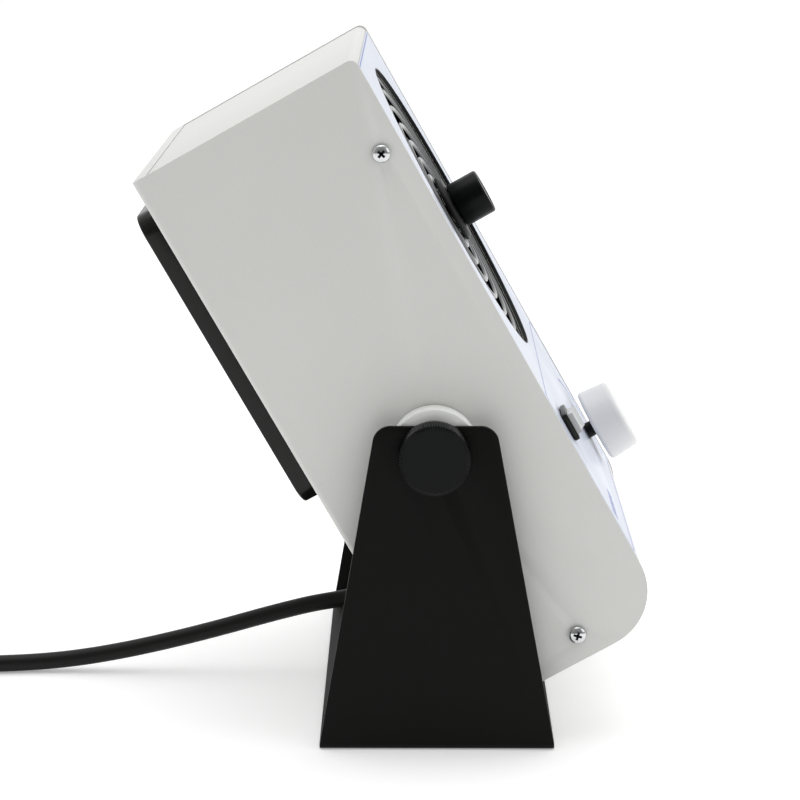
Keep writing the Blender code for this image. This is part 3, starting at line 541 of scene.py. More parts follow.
bracket = plane(2 * bracket_high.x - BRACKET_SHEET, bracket_foot, (0, 0, mid_sheet))
pick("EDGE", lambda edge: abs(middle_of(edge).x) > bracket_high.x / 2)
bpy.ops.mesh.extrude_region_move(TRANSFORM_OT_translate={"value": (0, 0, bracket_high.z - mid_sheet)})
bpy.ops.transform.resize(value=(1, LEG_TOP_DEPTH / bracket_foot, 1), center_override=(0, 0, 0))
bpy.ops.transform.translate(value=(0, LEG_TOP_SHIFT, 0))
pick("VERT", lambda vert: vert.co.z > bracket_high.z / 2)
bpy.ops.mesh.bevel(offset=LEG_CORNER, segments=8, affect="VERTICES")
pick("EDGE", lambda edge: middle_of(edge).z < BRACKET_SHEET
     and abs(middle_of(edge).x) > bracket_high.x - BRACKET_SHEET)
bpy.ops.mesh.bevel(offset=BEND_RADIUS - mid_sheet, segments=8, affect="EDGES")
leave_edit()
merge_doubles(bracket)
apply(bracket, "SOLIDIFY", thickness=BRACKET_SHEET, offset=0, use_even_offset=True)
bore(bracket, (-bracket_high.x - MM, PIVOT.y, PIVOT.z), (bracket_high.x + MM, PIVOT.y, PIVOT.z),
     PIVOT_HOLE, 48)
soften(bracket, 0.35 * MM, 3, 40)
BRACKET_BLACK = grained("bracket_black", (8, 10, 7), 0.45, scale=650, depth=0.3, drift=0.1, shade=0.2,
                        specular=0.1)
hand_over(bracket, "bracket", BRACKET_BLACK, "stand", "bracket_black", "stand_bracket")


# Side hardware: white nylon discs between the legs and the housing, and black moulded thumb knobs
# with straight ribs, each on a zinc plated stud that screws into the housing.
THUMB_RIBS = 84
RIB_DEPTH = 0.5 * MM
THUMB_CHAMFER = 0.6 * MM
THREAD_DEPTH = 0.4 * MM
NUT_BORE = 3.3 * MM

NYLON_WHITE = grained("nylon_white", (250, 251, 249), 0.42, scale=500, depth=0.08, drift=0.1, shade=0.03)
THUMB_BLACK = grained("thumb_black", (6, 9, 7), 0.3, scale=800, depth=0.12, drift=0.1, specular=0.12)
STUD_ZINC = grained("stud_zinc", (176, 178, 180), 0.32, scale=1400, depth=0.1, drift=0.15, metallic=1.0)
cover_high = upright_box("rear_cover")[1]
for side, sign in (("left", -1), ("right", 1)):
    outwards = Matrix.Translation((0, PIVOT.y, PIVOT.z)) @ Matrix.Rotation(sign * pi / 2, 4, "Y")
    spacer_low, spacer_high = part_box(f"spacer_{side}")
    near = min(abs(spacer_low.x), abs(spacer_high.x))
    far = max(abs(spacer_low.x), abs(spacer_high.x))
    rim = (spacer_high.z - spacer_low.z) / 2
    spacer = turned([(PIVOT_HOLE, far), (rim, far), (rim, near), (PIVOT_HOLE, near)], soft=0.5 * MM,
                    closed=True)
    spacer.data.transform(outwards)
    hand_over(spacer, f"nylon_disc_{side}", NYLON_WHITE, "stand", "nylon_white", f"spacer_{side}")

    knob_low, knob_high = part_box(f"thumb_knob_{side}")
    near = min(abs(knob_low.x), abs(knob_high.x))
    far = max(abs(knob_low.x), abs(knob_high.x))
    rim = (knob_high.z - knob_low.z) / 2
    clear_selection()
    bpy.ops.mesh.primitive_cylinder_add(vertices=2 * THUMB_RIBS, radius=rim, depth=far - near)
    knob = bpy.context.object
    bpy.ops.object.mode_set(mode="EDIT")
    bpy.ops.mesh.select_all(action="SELECT")
    bpy.ops.transform.translate(value=(0, 0, (far + near) / 2))
    step_angle = pi / THUMB_RIBS
    pick("VERT", lambda vert: round(atan2(vert.co.x, vert.co.y) / step_angle) % 2 == 1)
    bpy.ops.transform.resize(value=(1 - RIB_DEPTH / rim, 1 - RIB_DEPTH / rim, 1), center_override=(0, 0, 0))
    for rib_end in (near + THUMB_CHAMFER, far - THUMB_CHAMFER):
        bpy.ops.mesh.select_all(action="SELECT")
        bpy.ops.mesh.bisect(plane_co=(0, 0, rib_end), plane_no=(0, 0, 1))
    shrink = 1 - (THUMB_CHAMFER + RIB_DEPTH) / rim
    pick("VERT", lambda vert: min(abs(vert.co.z - near), abs(vert.co.z - far)) < TOUCH)
    bpy.ops.transform.resize(value=(shrink, shrink, 1), center_override=(0, 0, 0))
    leave_edit()
    take(knob)
    bpy.ops.object.shade_smooth_by_angle(angle=radians(30))
    knob.data.transform(outwards)
    hand_over(knob, f"ribbed_knob_{side}", THUMB_BLACK, f"thumb_knob_{side}", "knob_black",
              f"thumb_knob_{side}")

    stud_low, stud_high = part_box(f"thumb_stud_{side}")
    stud_near = min(abs(stud_low.x), abs(stud_high.x))
    stud_far = max(abs(stud_low.x), abs(stud_high.x))
    core = (stud_high.z - stud_low.z) / 2
    thread = [(0, stud_near), (core - THREAD_DEPTH, stud_near)]
    turns = int((cover_high.x - stud_near) / MM)
    for turn in range(turns):
        crest = stud_near + (turn + 0.5) * MM
        thread += [(core, crest), (core - THREAD_DEPTH, crest + MM / 2)]
    thread += [(core, stud_near + (turns + 0.6) * MM), (core, stud_far), (0, stud_far)]
    stud = turned(thread, steps=40)
    stud.data.transform(outwards)
    hand_over(stud, f"knob_stud_{side}", STUD_ZINC, f"thumb_knob_{side}", "zinc", f"thumb_stud_{side}")

    nut_low, nut_high = upright_box(f"pivot_nut_{side}")
    near = min(abs(nut_low.x), abs(nut_high.x))
    far = max(abs(nut_low.x), abs(nut_high.x))
    rim = nut_high.z
    nut = turned([(NUT_BORE, far), (rim, far), (rim, near), (NUT_BORE, near)], steps=6, soft=0.4 * MM,
                 closed=True)
    nut.data.transform(HOUSING @ Matrix.Rotation(sign * pi / 2, 4, "Y"))
    hand_over(nut, f"weld_nut_{side}", STUD_ZINC, "housing", "zinc", f"pivot_nut_{side}")


# Rear cover: both sides and the back in one sheet of 1.2 mm steel, with a short lip at the top that
# the front chassis slides under. Its toe corners follow the chassis. Warm light grey powder coat.
COVER_SHEET = 1.2 * MM
COVER_BEND = 2 * MM
TOE_RADIUS = 21 * MM
BROW_RADIUS = 3 * MM
TOP_LIP = 5 * MM
SCREW_PLACES = [(-33.9 * MM, 96.3 * MM), (-10.6 * MM, -82.6 * MM)]
SCREW_HOLE = 1.9 * MM
INTAKE_RADIUS = 50 * MM
CORD_HOLE = 5.9 * MM

POWDER_GREY = grained("powder_grey", (213, 213, 210), 0.45, scale=1100, depth=0.3, drift=0.08, shade=0.045)
shell_low, shell_high = upright_box("rear_cover")
cover = block(shell_low, shell_high)
pick("FACE", lambda face: face.normal.y < -0.5 or abs(face.normal.z) > 0.5)
bpy.ops.mesh.delete(type="FACE")
pick("VERT", lambda vert: vert.co.y < 0 and vert.co.z < 0)
bpy.ops.mesh.bevel(offset=TOE_RADIUS, segments=24, affect="VERTICES")
pick("VERT", lambda vert: vert.co.y < 0 and vert.co.z > shell_high.z - MM)
bpy.ops.mesh.bevel(offset=BROW_RADIUS, segments=8, affect="VERTICES")
pick("EDGE", lambda edge: middle_of(edge).y > shell_high.y - MM
     and abs(middle_of(edge).x) > shell_high.x - MM
     and abs(edge.verts[0].co.z - edge.verts[1].co.z) > MM)
bpy.ops.mesh.bevel(offset=COVER_BEND, segments=6, affect="EDGES")
pick("EDGE", lambda edge: middle_of(edge).z > shell_high.z - MM and middle_of(edge).y > shell_high.y - MM
     and abs(edge.verts[0].co.x - edge.verts[1].co.x) > 50 * MM)
bpy.ops.mesh.extrude_region_move(TRANSFORM_OT_translate={"value": (0, -TOP_LIP, 0)})
leave_edit()
merge_doubles(cover)
apply(cover, "SOLIDIFY", thickness=COVER_SHEET, offset=-1, use_even_offset=True)
bore(cover, (-1, 0, 0), (1, 0, 0), PIVOT_HOLE, 48)
for across, up in SCREW_PLACES:
    bore(cover, (-1, across, up), (1, across, up), SCREW_HOLE, 32)
filter_low, filter_high = upright_box("filter_cover")
filter_middle = (filter_low + filter_high) / 2
lead_height = (relief_low.z + relief_high.z) / 2
for height, radius, steps in ((filter_middle.z, INTAKE_RADIUS, 96), (lead_height, CORD_HOLE, 40)):
    bore(cover, (0, shell_high.y - TOP_LIP, height), (0, shell_high.y + TOP_LIP, height), radius, steps)
soften(cover, 0.3 * MM, 3, 40)
cover.data.transform(HOUSING)
hand_over(cover, "rear_shell", POWDER_GREY, "housing", "powder_grey", "rear_cover")


# Front chassis: top, front and bottom in one 1 mm sheet with a wide toe bend and narrow flanges
# behind the sides, so that a thin dark seam runs round the front.
CHASSIS_SHEET = 1.0 * MM
FLANGE = 9 * MM
OPENING_RADIUS = 56.5 * MM
OPENING_RISE = 0.8 * MM
SHAFT_HOLE = 3.6 * MM
SWITCH_HOLE = (13.4 * MM, 9.8 * MM)

speed_low, speed_high = upright_box("speed_knob")
speed_middle = (speed_low + speed_high) / 2
switch_low, switch_high = upright_box("switch_body")
switch_middle = (switch_low + switch_high) / 2
fan_middle = HOUSING.inverted() @ Vector(joints["fan_spin"]["pos_m"])
chassis_low, chassis_high = upright_box("front_chassis")


def cut_front(piece, ease):
    """Cuts the fan opening, the speed control's hole and the switch cut-out through a front panel."""
    front_low = chassis_low.y - 2 * MM
    front_high = chassis_low.y + 3 * MM
    opening_middle = fan_middle.z + OPENING_RISE
    bore(piece, (0, front_low, opening_middle), (0, front_high, opening_middle), OPENING_RADIUS + ease, 160)
    bore(piece, (speed_middle.x, front_low, speed_middle.z), (speed_middle.x, front_high, speed_middle.z),
         SHAFT_HOLE + ease, 40)
    half_width = SWITCH_HOLE[0] / 2 + ease
    half_height = SWITCH_HOLE[1] / 2 + ease
    slot = block((switch_middle.x - half_width, front_low, switch_middle.z - half_height),
                 (switch_middle.x + half_width, front_high, switch_middle.z + half_height))
    leave_edit()
    cut_with(piece, slot)


chassis = block(chassis_low, chassis_high)
pick("FACE", lambda face: face.normal.y > 0.5 or abs(face.normal.x) > 0.5)
bpy.ops.mesh.delete(type="FACE")
pick("VERT", lambda vert: vert.co.y > 0 and vert.co.z > 0)
bpy.ops.transform.translate(value=(0, shell_high.y - TOP_LIP - GAP - chassis_high.y, 0))
pick("EDGE", lambda edge: middle_of(edge).z < 0 and middle_of(edge).y < chassis_low.y + MM
     and abs(edge.verts[0].co.x - edge.verts[1].co.x) > MM)
bpy.ops.mesh.bevel(offset=TOE_RADIUS - GAP, segments=28, affect="EDGES")
pick("EDGE", lambda edge: middle_of(edge).z > chassis_high.z - MM and middle_of(edge).y < chassis_low.y + MM
     and abs(edge.verts[0].co.x - edge.verts[1].co.x) > MM)
bpy.ops.mesh.bevel(offset=BROW_RADIUS, segments=8, affect="EDGES")
pick("EDGE", lambda edge: abs(edge.verts[0].co.z - edge.verts[1].co.z) > 50 * MM)
bpy.ops.mesh.extrude_region_move(TRANSFORM_OT_translate={"value": (0, FLANGE, 0)})
leave_edit()
merge_doubles(chassis)
apply(chassis, "SOLIDIFY", thickness=CHASSIS_SHEET, offset=-1, use_even_offset=True)
cut_front(chassis, 0)
soften(chassis, 0.25 * MM, 3, 40)
chassis.data.transform(HOUSING)
hand_over(chassis, "chassis_front", POWDER_GREY, "housing", "powder_grey", "front_chassis")


# Overlay: a satin polyester sheet stuck on the flat of the front. Its print is a rule across the
# top, four slanted bars, a frame round the controls and an arc beside the speed knob.
OVERLAY_CORNER = 2 * MM
INK_THICKNESS = 0.03 * MM
INK_WIDTH = 0.6 * MM
LOWER_RULE = 132.5 * MM
FRAME_FOOT = 197 * MM
FRAME_CORNER = 5 * MM
FRAME_MARGIN = 3.5 * MM
SCALE_RADIUS = 22.5 * MM
SCALE_WIDTH = 1.4 * MM
SCALE_START = 75
SCALE_END = 195
TOP_RULE_DROP = 4.0 * MM
BAR_COUNT = 4
BAR_START = -54 * MM
BAR_PITCH = 8 * MM
BAR_DROP = 184 * MM
BAR_WIDTH = 5.5 * MM
BAR_RISE = 3.6 * MM
BAR_SLANT = 1.6 * MM

OVERLAY_WHITE = grained("overlay_white", (203, 209, 223), 0.3, scale=1600, depth=0.1, drift=0.08,
                        shade=0.025)
overlay_low, overlay_high = upright_box("front_overlay")
overlay_middle = (overlay_low + overlay_high) / 2


def facing_front(x, height):
    """Places a piece that points out of the front, its own x across and y up on the upright housing."""
    return HOUSING @ Matrix.Translation((x, 0, height)) @ Matrix.Rotation(pi / 2, 4, "X")


def cut_front_flat(piece, ease):
    """Stands a lying panel up on the housing and cuts the front's openings through it."""
    piece.data.transform(HOUSING.inverted() @ facing_front(0, 0))
    cut_front(piece, ease)


overlay = plane(overlay_high.x - overlay_low.x, overlay_high.z - overlay_low.z,
                (0, overlay_middle.z, -overlay_high.y))
bpy.ops.mesh.select_mode(type="VERT")
bpy.ops.mesh.select_all(action="SELECT")
bpy.ops.mesh.bevel(offset=OVERLAY_CORNER, segments=8, affect="VERTICES")
leave_edit()
apply(overlay, "SOLIDIFY", thickness=overlay_high.y - overlay_low.y, offset=1)
cut_front_flat(overlay, 0.2 * MM)
soften(overlay, 0.06 * MM, 2, 40)
overlay.data.transform(HOUSING)
hand_over(overlay, "front_label", OVERLAY_WHITE, "housing", "overlay", "front_overlay")

ink_height = -overlay_low.y + 0.01 * MM


def printed(corner_low, corner_high, corner, width):
    """A printed line round a rectangle with rounded corners, given from its outside."""
    size = (corner_high[0] - corner_low[0], corner_high[1] - corner_low[1])
    centre = ((corner_low[0] + corner_high[0]) / 2, (corner_low[1] + corner_high[1]) / 2, ink_height)
    line = plane(*size, centre)
    bpy.ops.mesh.select_mode(type="VERT")
    bpy.ops.mesh.select_all(action="SELECT")
    bpy.ops.mesh.bevel(offset=corner, segments=8, affect="VERTICES")
    bpy.ops.mesh.select_all(action="SELECT")
    bpy.ops.mesh.select_mode(type="FACE")
    bpy.ops.mesh.inset(thickness=width)
    bpy.ops.mesh.delete(type="FACE")
    leave_edit()
    return line


def printed_rule(height, low, high):
    rule = plane(high - low, INK_WIDTH, ((low + high) / 2, height, ink_height))
    leave_edit()
    return rule


def printed_arc(x, height, radius, width, start, end):
    """A printed arc about a point on the front, from one angle to another."""
    arc = plane(width, INK_THICKNESS, (x + radius, height, ink_height))
    pick("EDGE", lambda edge: middle_of(edge).y > height)
    bpy.ops.mesh.select_all(action="INVERT")
    bpy.ops.mesh.delete(type="EDGE")
    bpy.ops.mesh.select_all(action="SELECT")
    bpy.ops.transform.rotate(value=-start, orient_axis="Z", center_override=(x, height, ink_height))
    bpy.ops.mesh.spin(steps=40, angle=end - start, center=(x, height, ink_height), axis=(0, 0, 1))
    leave_edit()
    return arc


def slanted_bar(x, height, width, rise, slant):
    """A short printed bar that leans to the right."""
    bar = plane(width, rise, (x, height, ink_height))
    pick("VERT", lambda vert: vert.co.y > height)
    bpy.ops.transform.translate(value=(slant, 0, 0))
    leave_edit()
    return bar


top = shell_high.z
print_side = overlay_high.x - FRAME_MARGIN
bars = [slanted_bar(BAR_START + BAR_PITCH * bar, top - BAR_DROP, BAR_WIDTH, BAR_RISE, BAR_SLANT)
        for bar in range(BAR_COUNT)]
ink = join(
    printed_rule(top - TOP_RULE_DROP, -print_side, print_side),
    printed((-print_side, top - FRAME_FOOT), (print_side, top - LOWER_RULE), FRAME_CORNER, INK_WIDTH),
    printed_arc(speed_middle.x, speed_middle.z, SCALE_RADIUS, SCALE_WIDTH, radians(SCALE_START),
                radians(SCALE_END)),
    *bars)
merge_doubles(ink)
apply(ink, "SOLIDIFY", thickness=INK_THICKNESS, offset=1)
ink.data.transform(facing_front(0, 0))
INK_BLUE = grained("ink_blue", (84, 102, 184), 0.35, scale=1600, depth=0.05, drift=0.05, shade=0.05)
hand_over(ink, "printed_lines", INK_BLUE, "housing", "overlay")


# Housing screws: chrome plated pan heads, two a side, each with a cross recess; a dark cross at the bottom
# of each recess is painted shade.
SHANK_RADIUS = 1.5 * MM
SHANK_LENGTH = 5 * MM
HEAD_LIFT = 0.05 * MM
DOME_SHARE = 0.68
RECESS_ARM = 2.1 * MM
RECESS_HALF_WIDTH = 0.5 * MM
SHADE_CROSS_ARM = 1.2 * MM
SHADE_CROSS_HALF_WIDTH = 0.42 * MM
UPPER_SKEW = 20
LOWER_SKEW = 45

CHROME = grained("chrome_plate", (205, 206, 207), 0.1, scale=260, depth=0.03, drift=0.08, shade=0.03,
                 metallic=1.0)
# A near-black colour for dark pieces put where there is only shade: painted shade in the screw recesses and
# painted shadow on the fan opening's cut edge.
PAINTED_SHADE_DARK = grained("painted_shade_dark", (26, 27, 26), 0.5, scale=900, depth=0.1, specular=0.2)
head_low, head_high = upright_box("housing_screw_right_upper")
head_radius = (head_high.z - head_low.z) / 2
head_height = head_high.x - shell_high.x
dome = [(head_radius * sin(step * pi / 16),
         head_height * (1 - DOME_SHARE + DOME_SHARE * cos(step * pi / 16))) for step in range(9)]
shank = [(head_radius, HEAD_LIFT), (SHANK_RADIUS, HEAD_LIFT), (SHANK_RADIUS, -SHANK_LENGTH),
         (0, -SHANK_LENGTH)]
screw = turned(dome + shank, steps=64, soft=0.15 * MM, segments=2)
for turn in (0, pi / 2):
    bit = block((-RECESS_ARM, -RECESS_HALF_WIDTH, 0.1 * head_height),
                (RECESS_ARM, RECESS_HALF_WIDTH, 2 * head_height))
    pick("FACE", lambda face: face.normal.z < -0.5)
    bpy.ops.transform.resize(value=(0.5, 0.8, 1), center_override=(0, 0, 0))
    leave_edit()
    bit.data.transform(Matrix.Rotation(turn, 4, "Z"))
    cut_with(screw, bit)
take(screw)
bpy.ops.object.shade_smooth_by_angle(angle=radians(SHARP_ANGLE))
# Dark crosses at the bottom of the recesses: painted shade, not part of the screws.
arms = []
for x, y in ((SHADE_CROSS_ARM, SHADE_CROSS_HALF_WIDTH), (SHADE_CROSS_HALF_WIDTH, SHADE_CROSS_ARM)):
    arms.append(block((-x, -y, 0.12 * head_height), (x, y, 0.42 * head_height)))
    leave_edit()
recess = join(*arms)
for side, sign in (("left", -1), ("right", 1)):
    for level, (across, up) in zip(("upper", "lower"), SCREW_PLACES):
        skew = Matrix.Rotation(radians(UPPER_SKEW if level == "upper" else LOWER_SKEW), 4, "Z")
        seat = (HOUSING @ Matrix.Translation((sign * shell_high.x, across, up))
                @ Matrix.Rotation(sign * pi / 2, 4, "Y") @ skew)
        head = screw.copy()
        recess_shade_insert = recess.copy()
        for copy in (head, recess_shade_insert):
            copy.data = copy.data.copy()
            bpy.context.scene.collection.objects.link(copy)
            copy.data.transform(seat)
        hand_over(head, f"pan_screw_{side}_{level}", CHROME, "housing", "chrome",
                  f"housing_screw_{side}_{level}")
        hand_over(recess_shade_insert, f"recess_{side}_{level}", PAINTED_SHADE_DARK, "housing", "chrome")
bpy.data.objects.remove(screw)
bpy.data.objects.remove(recess)


# Guard: nickel plated wire rings welded to four spokes and a middle plate, held behind the opening.
# A black hub disc clips over the plate.
RING_COUNT = 7
FIRST_RING = 14.2 * MM
RING_PITCH = 7.1 * MM
WIRE_RADIUS = 1.0 * MM
RING_SEGMENTS = 128
SPOKE_START = 6 * MM
SPOKE_END = 70 * MM
PLATE_BORE = 3 * MM
PLATE_RADIUS = 9 * MM
HUB_BORE = 2.6 * MM

guard_low = upright_box("finger_guard")[0]
ring_height = -guard_low.y - WIRE_RADIUS
spoke_height = ring_height - 1.7 * WIRE_RADIUS
wires = []
for number in range(RING_COUNT):
    clear_selection()
    bpy.ops.mesh.primitive_torus_add(
        major_radius=FIRST_RING + number * RING_PITCH, minor_radius=WIRE_RADIUS,
        major_segments=RING_SEGMENTS, minor_segments=14, location=(0, 0, ring_height))
    wires.append(bpy.context.object)
for number in range(4):
    angle = pi / 4 + number * pi / 2
    reach = Vector((cos(angle), sin(angle), 0))
    lift = Vector((0, 0, spoke_height))
    wires.append(tube("spoke", [reach * SPOKE_START + lift, reach * SPOKE_END + lift], WIRE_RADIUS, 4))
plate_top = ring_height + 0.7 * MM
plate_foot = spoke_height - 0.8 * MM
wires.append(turned([(PLATE_BORE, plate_top), (PLATE_RADIUS, plate_top), (PLATE_RADIUS, plate_foot),
                     (PLATE_BORE, plate_foot)], steps=48, soft=0.3 * MM, closed=True))
guard = join(*wires)
bpy.ops.object.transform_apply(location=True, rotation=True, scale=True)
bpy.ops.object.shade_smooth_by_angle(angle=radians(50))
guard.data.transform(facing_front(0, fan_middle.z))
# The wire's colour is kept far darker than the screws' chrome of the same slot: painted shade standing in
# for the dark surroundings that the rings reflect.
SHADED_WIRE_NICKEL = grained("wire_nickel_painted_shade", (90, 91, 92), 0.14, scale=260, depth=0.03, shade=0.03, metallic=1.0)
hand_over(guard, "ring_guard", SHADED_WIRE_NICKEL, "housing", "chrome", "finger_guard")

HUB_BLACK = grained("hub_black", (14, 15, 14), 0.42, scale=700, depth=0.15, drift=0.1, specular=0.2)
hub_low, hub_high = upright_box("guard_hub")
hub_rim = (hub_high.x - hub_low.x) / 2
hub_face = -hub_low.y
hub = turned([(HUB_BORE, hub_face), (hub_rim - 1.2 * MM, hub_face), (hub_rim, hub_face - 1.0 * MM),
              (hub_rim, -hub_high.y), (HUB_BORE, -hub_high.y)], steps=96, soft=0.3 * MM, closed=True)
hub.data.transform(facing_front(0, fan_middle.z))
hand_over(hub, "hub_disc", HUB_BLACK, "housing", "knob_black", "guard_hub")


# Edge shadow: a thin dark strip that lines the cut edge of the opening, painted shadow where the opening's
# wall lies in shade.
EDGE_SHADOW_WIDTH = 0.35 * MM

edge_shadow_top = -overlay_low.y
edge_shadow_foot = -chassis_low.y - CHASSIS_SHEET
edge_shadow = turned([(OPENING_RADIUS - EDGE_SHADOW_WIDTH, edge_shadow_top), (OPENING_RADIUS, edge_shadow_top), (OPENING_RADIUS, edge_shadow_foot),
               (OPENING_RADIUS - EDGE_SHADOW_WIDTH, edge_shadow_foot)], steps=160, closed=True)
edge_shadow.data.transform(facing_front(0, fan_middle.z + OPENING_RISE))
# The dark strip is painted shadow on the opening's edge, not a real part.
hand_over(edge_shadow, "painted_edge_shadow", PAINTED_SHADE_DARK, "housing", "fan_black")


# Centre knob: a plain black turned knob with a softened rim, on a thin plated shaft with a collar.
KNOB_BORE = 2.5 * MM
BORE_ROOF = 4 * MM
FACE_DISH = 0.25 * MM
SHAFT_RADIUS = 2.2 * MM
COLLAR_RADIUS = 5 * MM
COLLAR_THICKNESS = 1.6 * MM

knob_low, knob_high = upright_box("centre_knob")
knob_rim = (knob_high.x - knob_low.x) / 2
knob_face = -knob_low.y
knob_foot = -knob_high.y
dish_floor = knob_face - FACE_DISH
centre_knob = turned([(0, dish_floor), (knob_rim - 1.6 * MM, dish_floor), (knob_rim - 1.2 * MM, knob_face),
                      (knob_rim - 0.5 * MM, knob_face), (knob_rim, knob_face - 0.6 * MM),
                      (knob_rim, knob_foot + 0.4 * MM), (knob_rim - 0.4 * MM, knob_foot),
                      (KNOB_BORE, knob_foot), (KNOB_BORE, knob_face - BORE_ROOF),
                      (0, knob_face - BORE_ROOF)], steps=96, soft=0.2 * MM)
centre_knob.data.transform(facing_front(0, fan_middle.z))
hand_over(centre_knob, "middle_knob", THUMB_BLACK, "centre_knob", "knob_black", "centre_knob")

shaft_low, shaft_high = upright_box("centre_shaft")
shaft_tip = -shaft_low.y
shaft_foot = -shaft_high.y
collar_top = shaft_foot + COLLAR_THICKNESS
shaft = turned([(0, shaft_tip), (SHAFT_RADIUS - GAP, shaft_tip), (SHAFT_RADIUS, shaft_tip - GAP),
                (SHAFT_RADIUS, collar_top), (COLLAR_RADIUS, collar_top), (COLLAR_RADIUS, shaft_foot),
                (0, shaft_foot)], steps=40, soft=0.15 * MM, segments=2)
shaft.data.transform(facing_front(0, fan_middle.z))
hand_over(shaft, "middle_shaft", STUD_ZINC, "centre_knob", "zinc", "centre_shaft")


# Fan: a square glass-filled plastic frame with a flared bore and three struts behind, a steel motor
# cup, and a seven-bladed rotor.
BLADES = 7
BLADE_TIP = 53.5 * MM
BLADE_SECTIONS = 7
FRAME_CORNER_RADIUS = 4 * MM
FAN_BORE = 56.5 * MM
STUD_REACH = 52.5 * MM
MOTOR_RADIUS = 33 * MM
STRUT_DEPTH = 4.6 * MM
STRUT_HALF = 4 * MM
STRUT_RING = 3 * MM
STUD_HOLE = 2.3 * MM
ROTOR_HUB = 31 * MM
CUP_WALL = 2.5 * MM
HUB_EASE = 1.5 * MM
BLADE_CHORD = 27 * MM
BLADE_ROOT = 2 * MM
BLADE_CAMBER = 2.2 * MM
BLADE_THICKNESS = 1.6 * MM
ROOT_PITCH = 40
PITCH_FALL = 12
BLADE_SWEEP = 0.16

FAN_BLACK = grained("fan_black", (18, 19, 18), 0.5, scale=800, depth=0.25, drift=0.12, shade=0.1,
                    specular=0.2)
fan_low, fan_high = upright_box("fan_frame")
fan_front = -fan_low.y
fan_rear = -fan_high.y
half_fan = (fan_high.x - fan_low.x) / 2
fan_body = block((-half_fan, -half_fan, fan_rear), (half_fan, half_fan, fan_front))
pick("EDGE", lambda edge: abs(edge.verts[0].co.z - edge.verts[1].co.z) > MM)
bpy.ops.mesh.bevel(offset=FRAME_CORNER_RADIUS, segments=6, affect="EDGES")
leave_edit()
bore(fan_body, (0, 0, fan_rear - MM), (0, 0, fan_front + MM), FAN_BORE, 128)
for number in range(4):
    angle = pi / 4 + number * pi / 2
    x = STUD_REACH * (1 if cos(angle) > 0 else -1)
    y = STUD_REACH * (1 if sin(angle) > 0 else -1)
    bore(fan_body, (x, y, fan_rear - MM), (x, y, fan_front + MM), STUD_HOLE, 32)
soften(fan_body, 0.5 * MM, 3, 40)
strut_top = fan_rear + STRUT_DEPTH
ring_outer = MOTOR_RADIUS + STRUT_RING
struts = [turned([(MOTOR_RADIUS + GAP, strut_top), (ring_outer, strut_top), (ring_outer, fan_rear),
                  (MOTOR_RADIUS + GAP, fan_rear)], steps=96, soft=0.5 * MM, closed=True)]
for number in range(3):
    strut = block((MOTOR_RADIUS + MM, -STRUT_HALF, fan_rear), (FAN_BORE + MM, STRUT_HALF, strut_top))
    leave_edit()
    soften(strut, 0.8 * MM, 3)
    strut.data.transform(Matrix.Rotation(pi / 2 + number * 2 * pi / 3, 4, "Z"))
    struts.append(strut)
fan_body = join(fan_body, *struts)
fan_body.data.transform(facing_front(0, fan_middle.z))
hand_over(fan_body, "fan_housing", FAN_BLACK, "housing", "fan_black", "fan_frame")

rotor_low, rotor_high = upright_box("fan_rotor")
rotor_front = -rotor_low.y
rotor_rear = -rotor_high.y
cup_floor = rotor_front - CUP_WALL
rotor = turned([(0, rotor_front), (ROTOR_HUB - HUB_EASE, rotor_front), (ROTOR_HUB, rotor_front - HUB_EASE),
                (ROTOR_HUB, rotor_rear), (ROTOR_HUB - CUP_WALL, rotor_rear),
                (ROTOR_HUB - CUP_WALL, cup_floor), (0, cup_floor)], steps=96, soft=0.4 * MM)
blade_middle = (rotor_front + rotor_rear) / 2
blade = plane(BLADE_TIP - ROTOR_HUB + BLADE_ROOT, BLADE_CHORD,
              ((BLADE_TIP + ROTOR_HUB - BLADE_ROOT) / 2, 0, 0))
bpy.ops.mesh.select_all(action="SELECT")
bpy.ops.mesh.subdivide(number_cuts=BLADE_SECTIONS)
leave_edit()
for vertex in blade.data.vertices:
    reach = (vertex.co.x - ROTOR_HUB) / (BLADE_TIP - ROTOR_HUB)
    along = vertex.co.y / BLADE_CHORD
    twist = radians(ROOT_PITCH - PITCH_FALL * reach)
    sweep = BLADE_SWEEP * reach * reach + vertex.co.y * cos(twist) / vertex.co.x
    camber = BLADE_CAMBER * (1 - 4 * along * along)
    radius = vertex.co.x
    vertex.co = (radius * cos(sweep), radius * sin(sweep), blade_middle + vertex.co.y * sin(twist) + camber)
apply(blade, "SOLIDIFY", thickness=BLADE_THICKNESS, offset=0)
apply(blade, "SUBSURF", levels=1, render_levels=1)
take(blade)
bpy.ops.object.shade_smooth()
blades = []
for number in range(BLADES):
    copy = blade.copy()
    copy.data = blade.data.copy()
    bpy.context.scene.collection.objects.link(copy)
    copy.data.transform(Matrix.Rotation(2 * pi * number / BLADES, 4, "Z"))
    blades.append(copy)
bpy.data.objects.remove(blade)
rotor = join(rotor, *blades)
rotor.data.transform(facing_front(0, fan_middle.z))
hand_over(rotor, "rotor", FAN_BLACK, "fan_rotor", "fan_black", "fan_rotor")

MOTOR_STEEL = grained("motor_steel", (86, 88, 90), 0.4, scale=1000, depth=0.15, drift=0.15, metallic=0.8)


def refinish(material, *nodes):
    """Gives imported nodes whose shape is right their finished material."""
    for node in nodes:
        packed = frame["nodes"][node]
        packed.data.materials.clear()
        packed.data.materials.append(material)


refinish(MOTOR_STEEL, "fan_motor", "speed_control")
refinish(STUD_ZINC, *[f"fan_stud_{number}" for number in range(1, 5)])


# Rear filter: a moulded base with four bays, a pad of open-cell foam and a push-fit cover with a
# square grid and rounded corners, all gloss black but the foam.
COVER_CORNER = 8 * MM
GRID_CELLS = 5
CELL_PITCH = 19.5 * MM
CELL = 15.5 * MM
FACE_WALL = 1.7 * MM

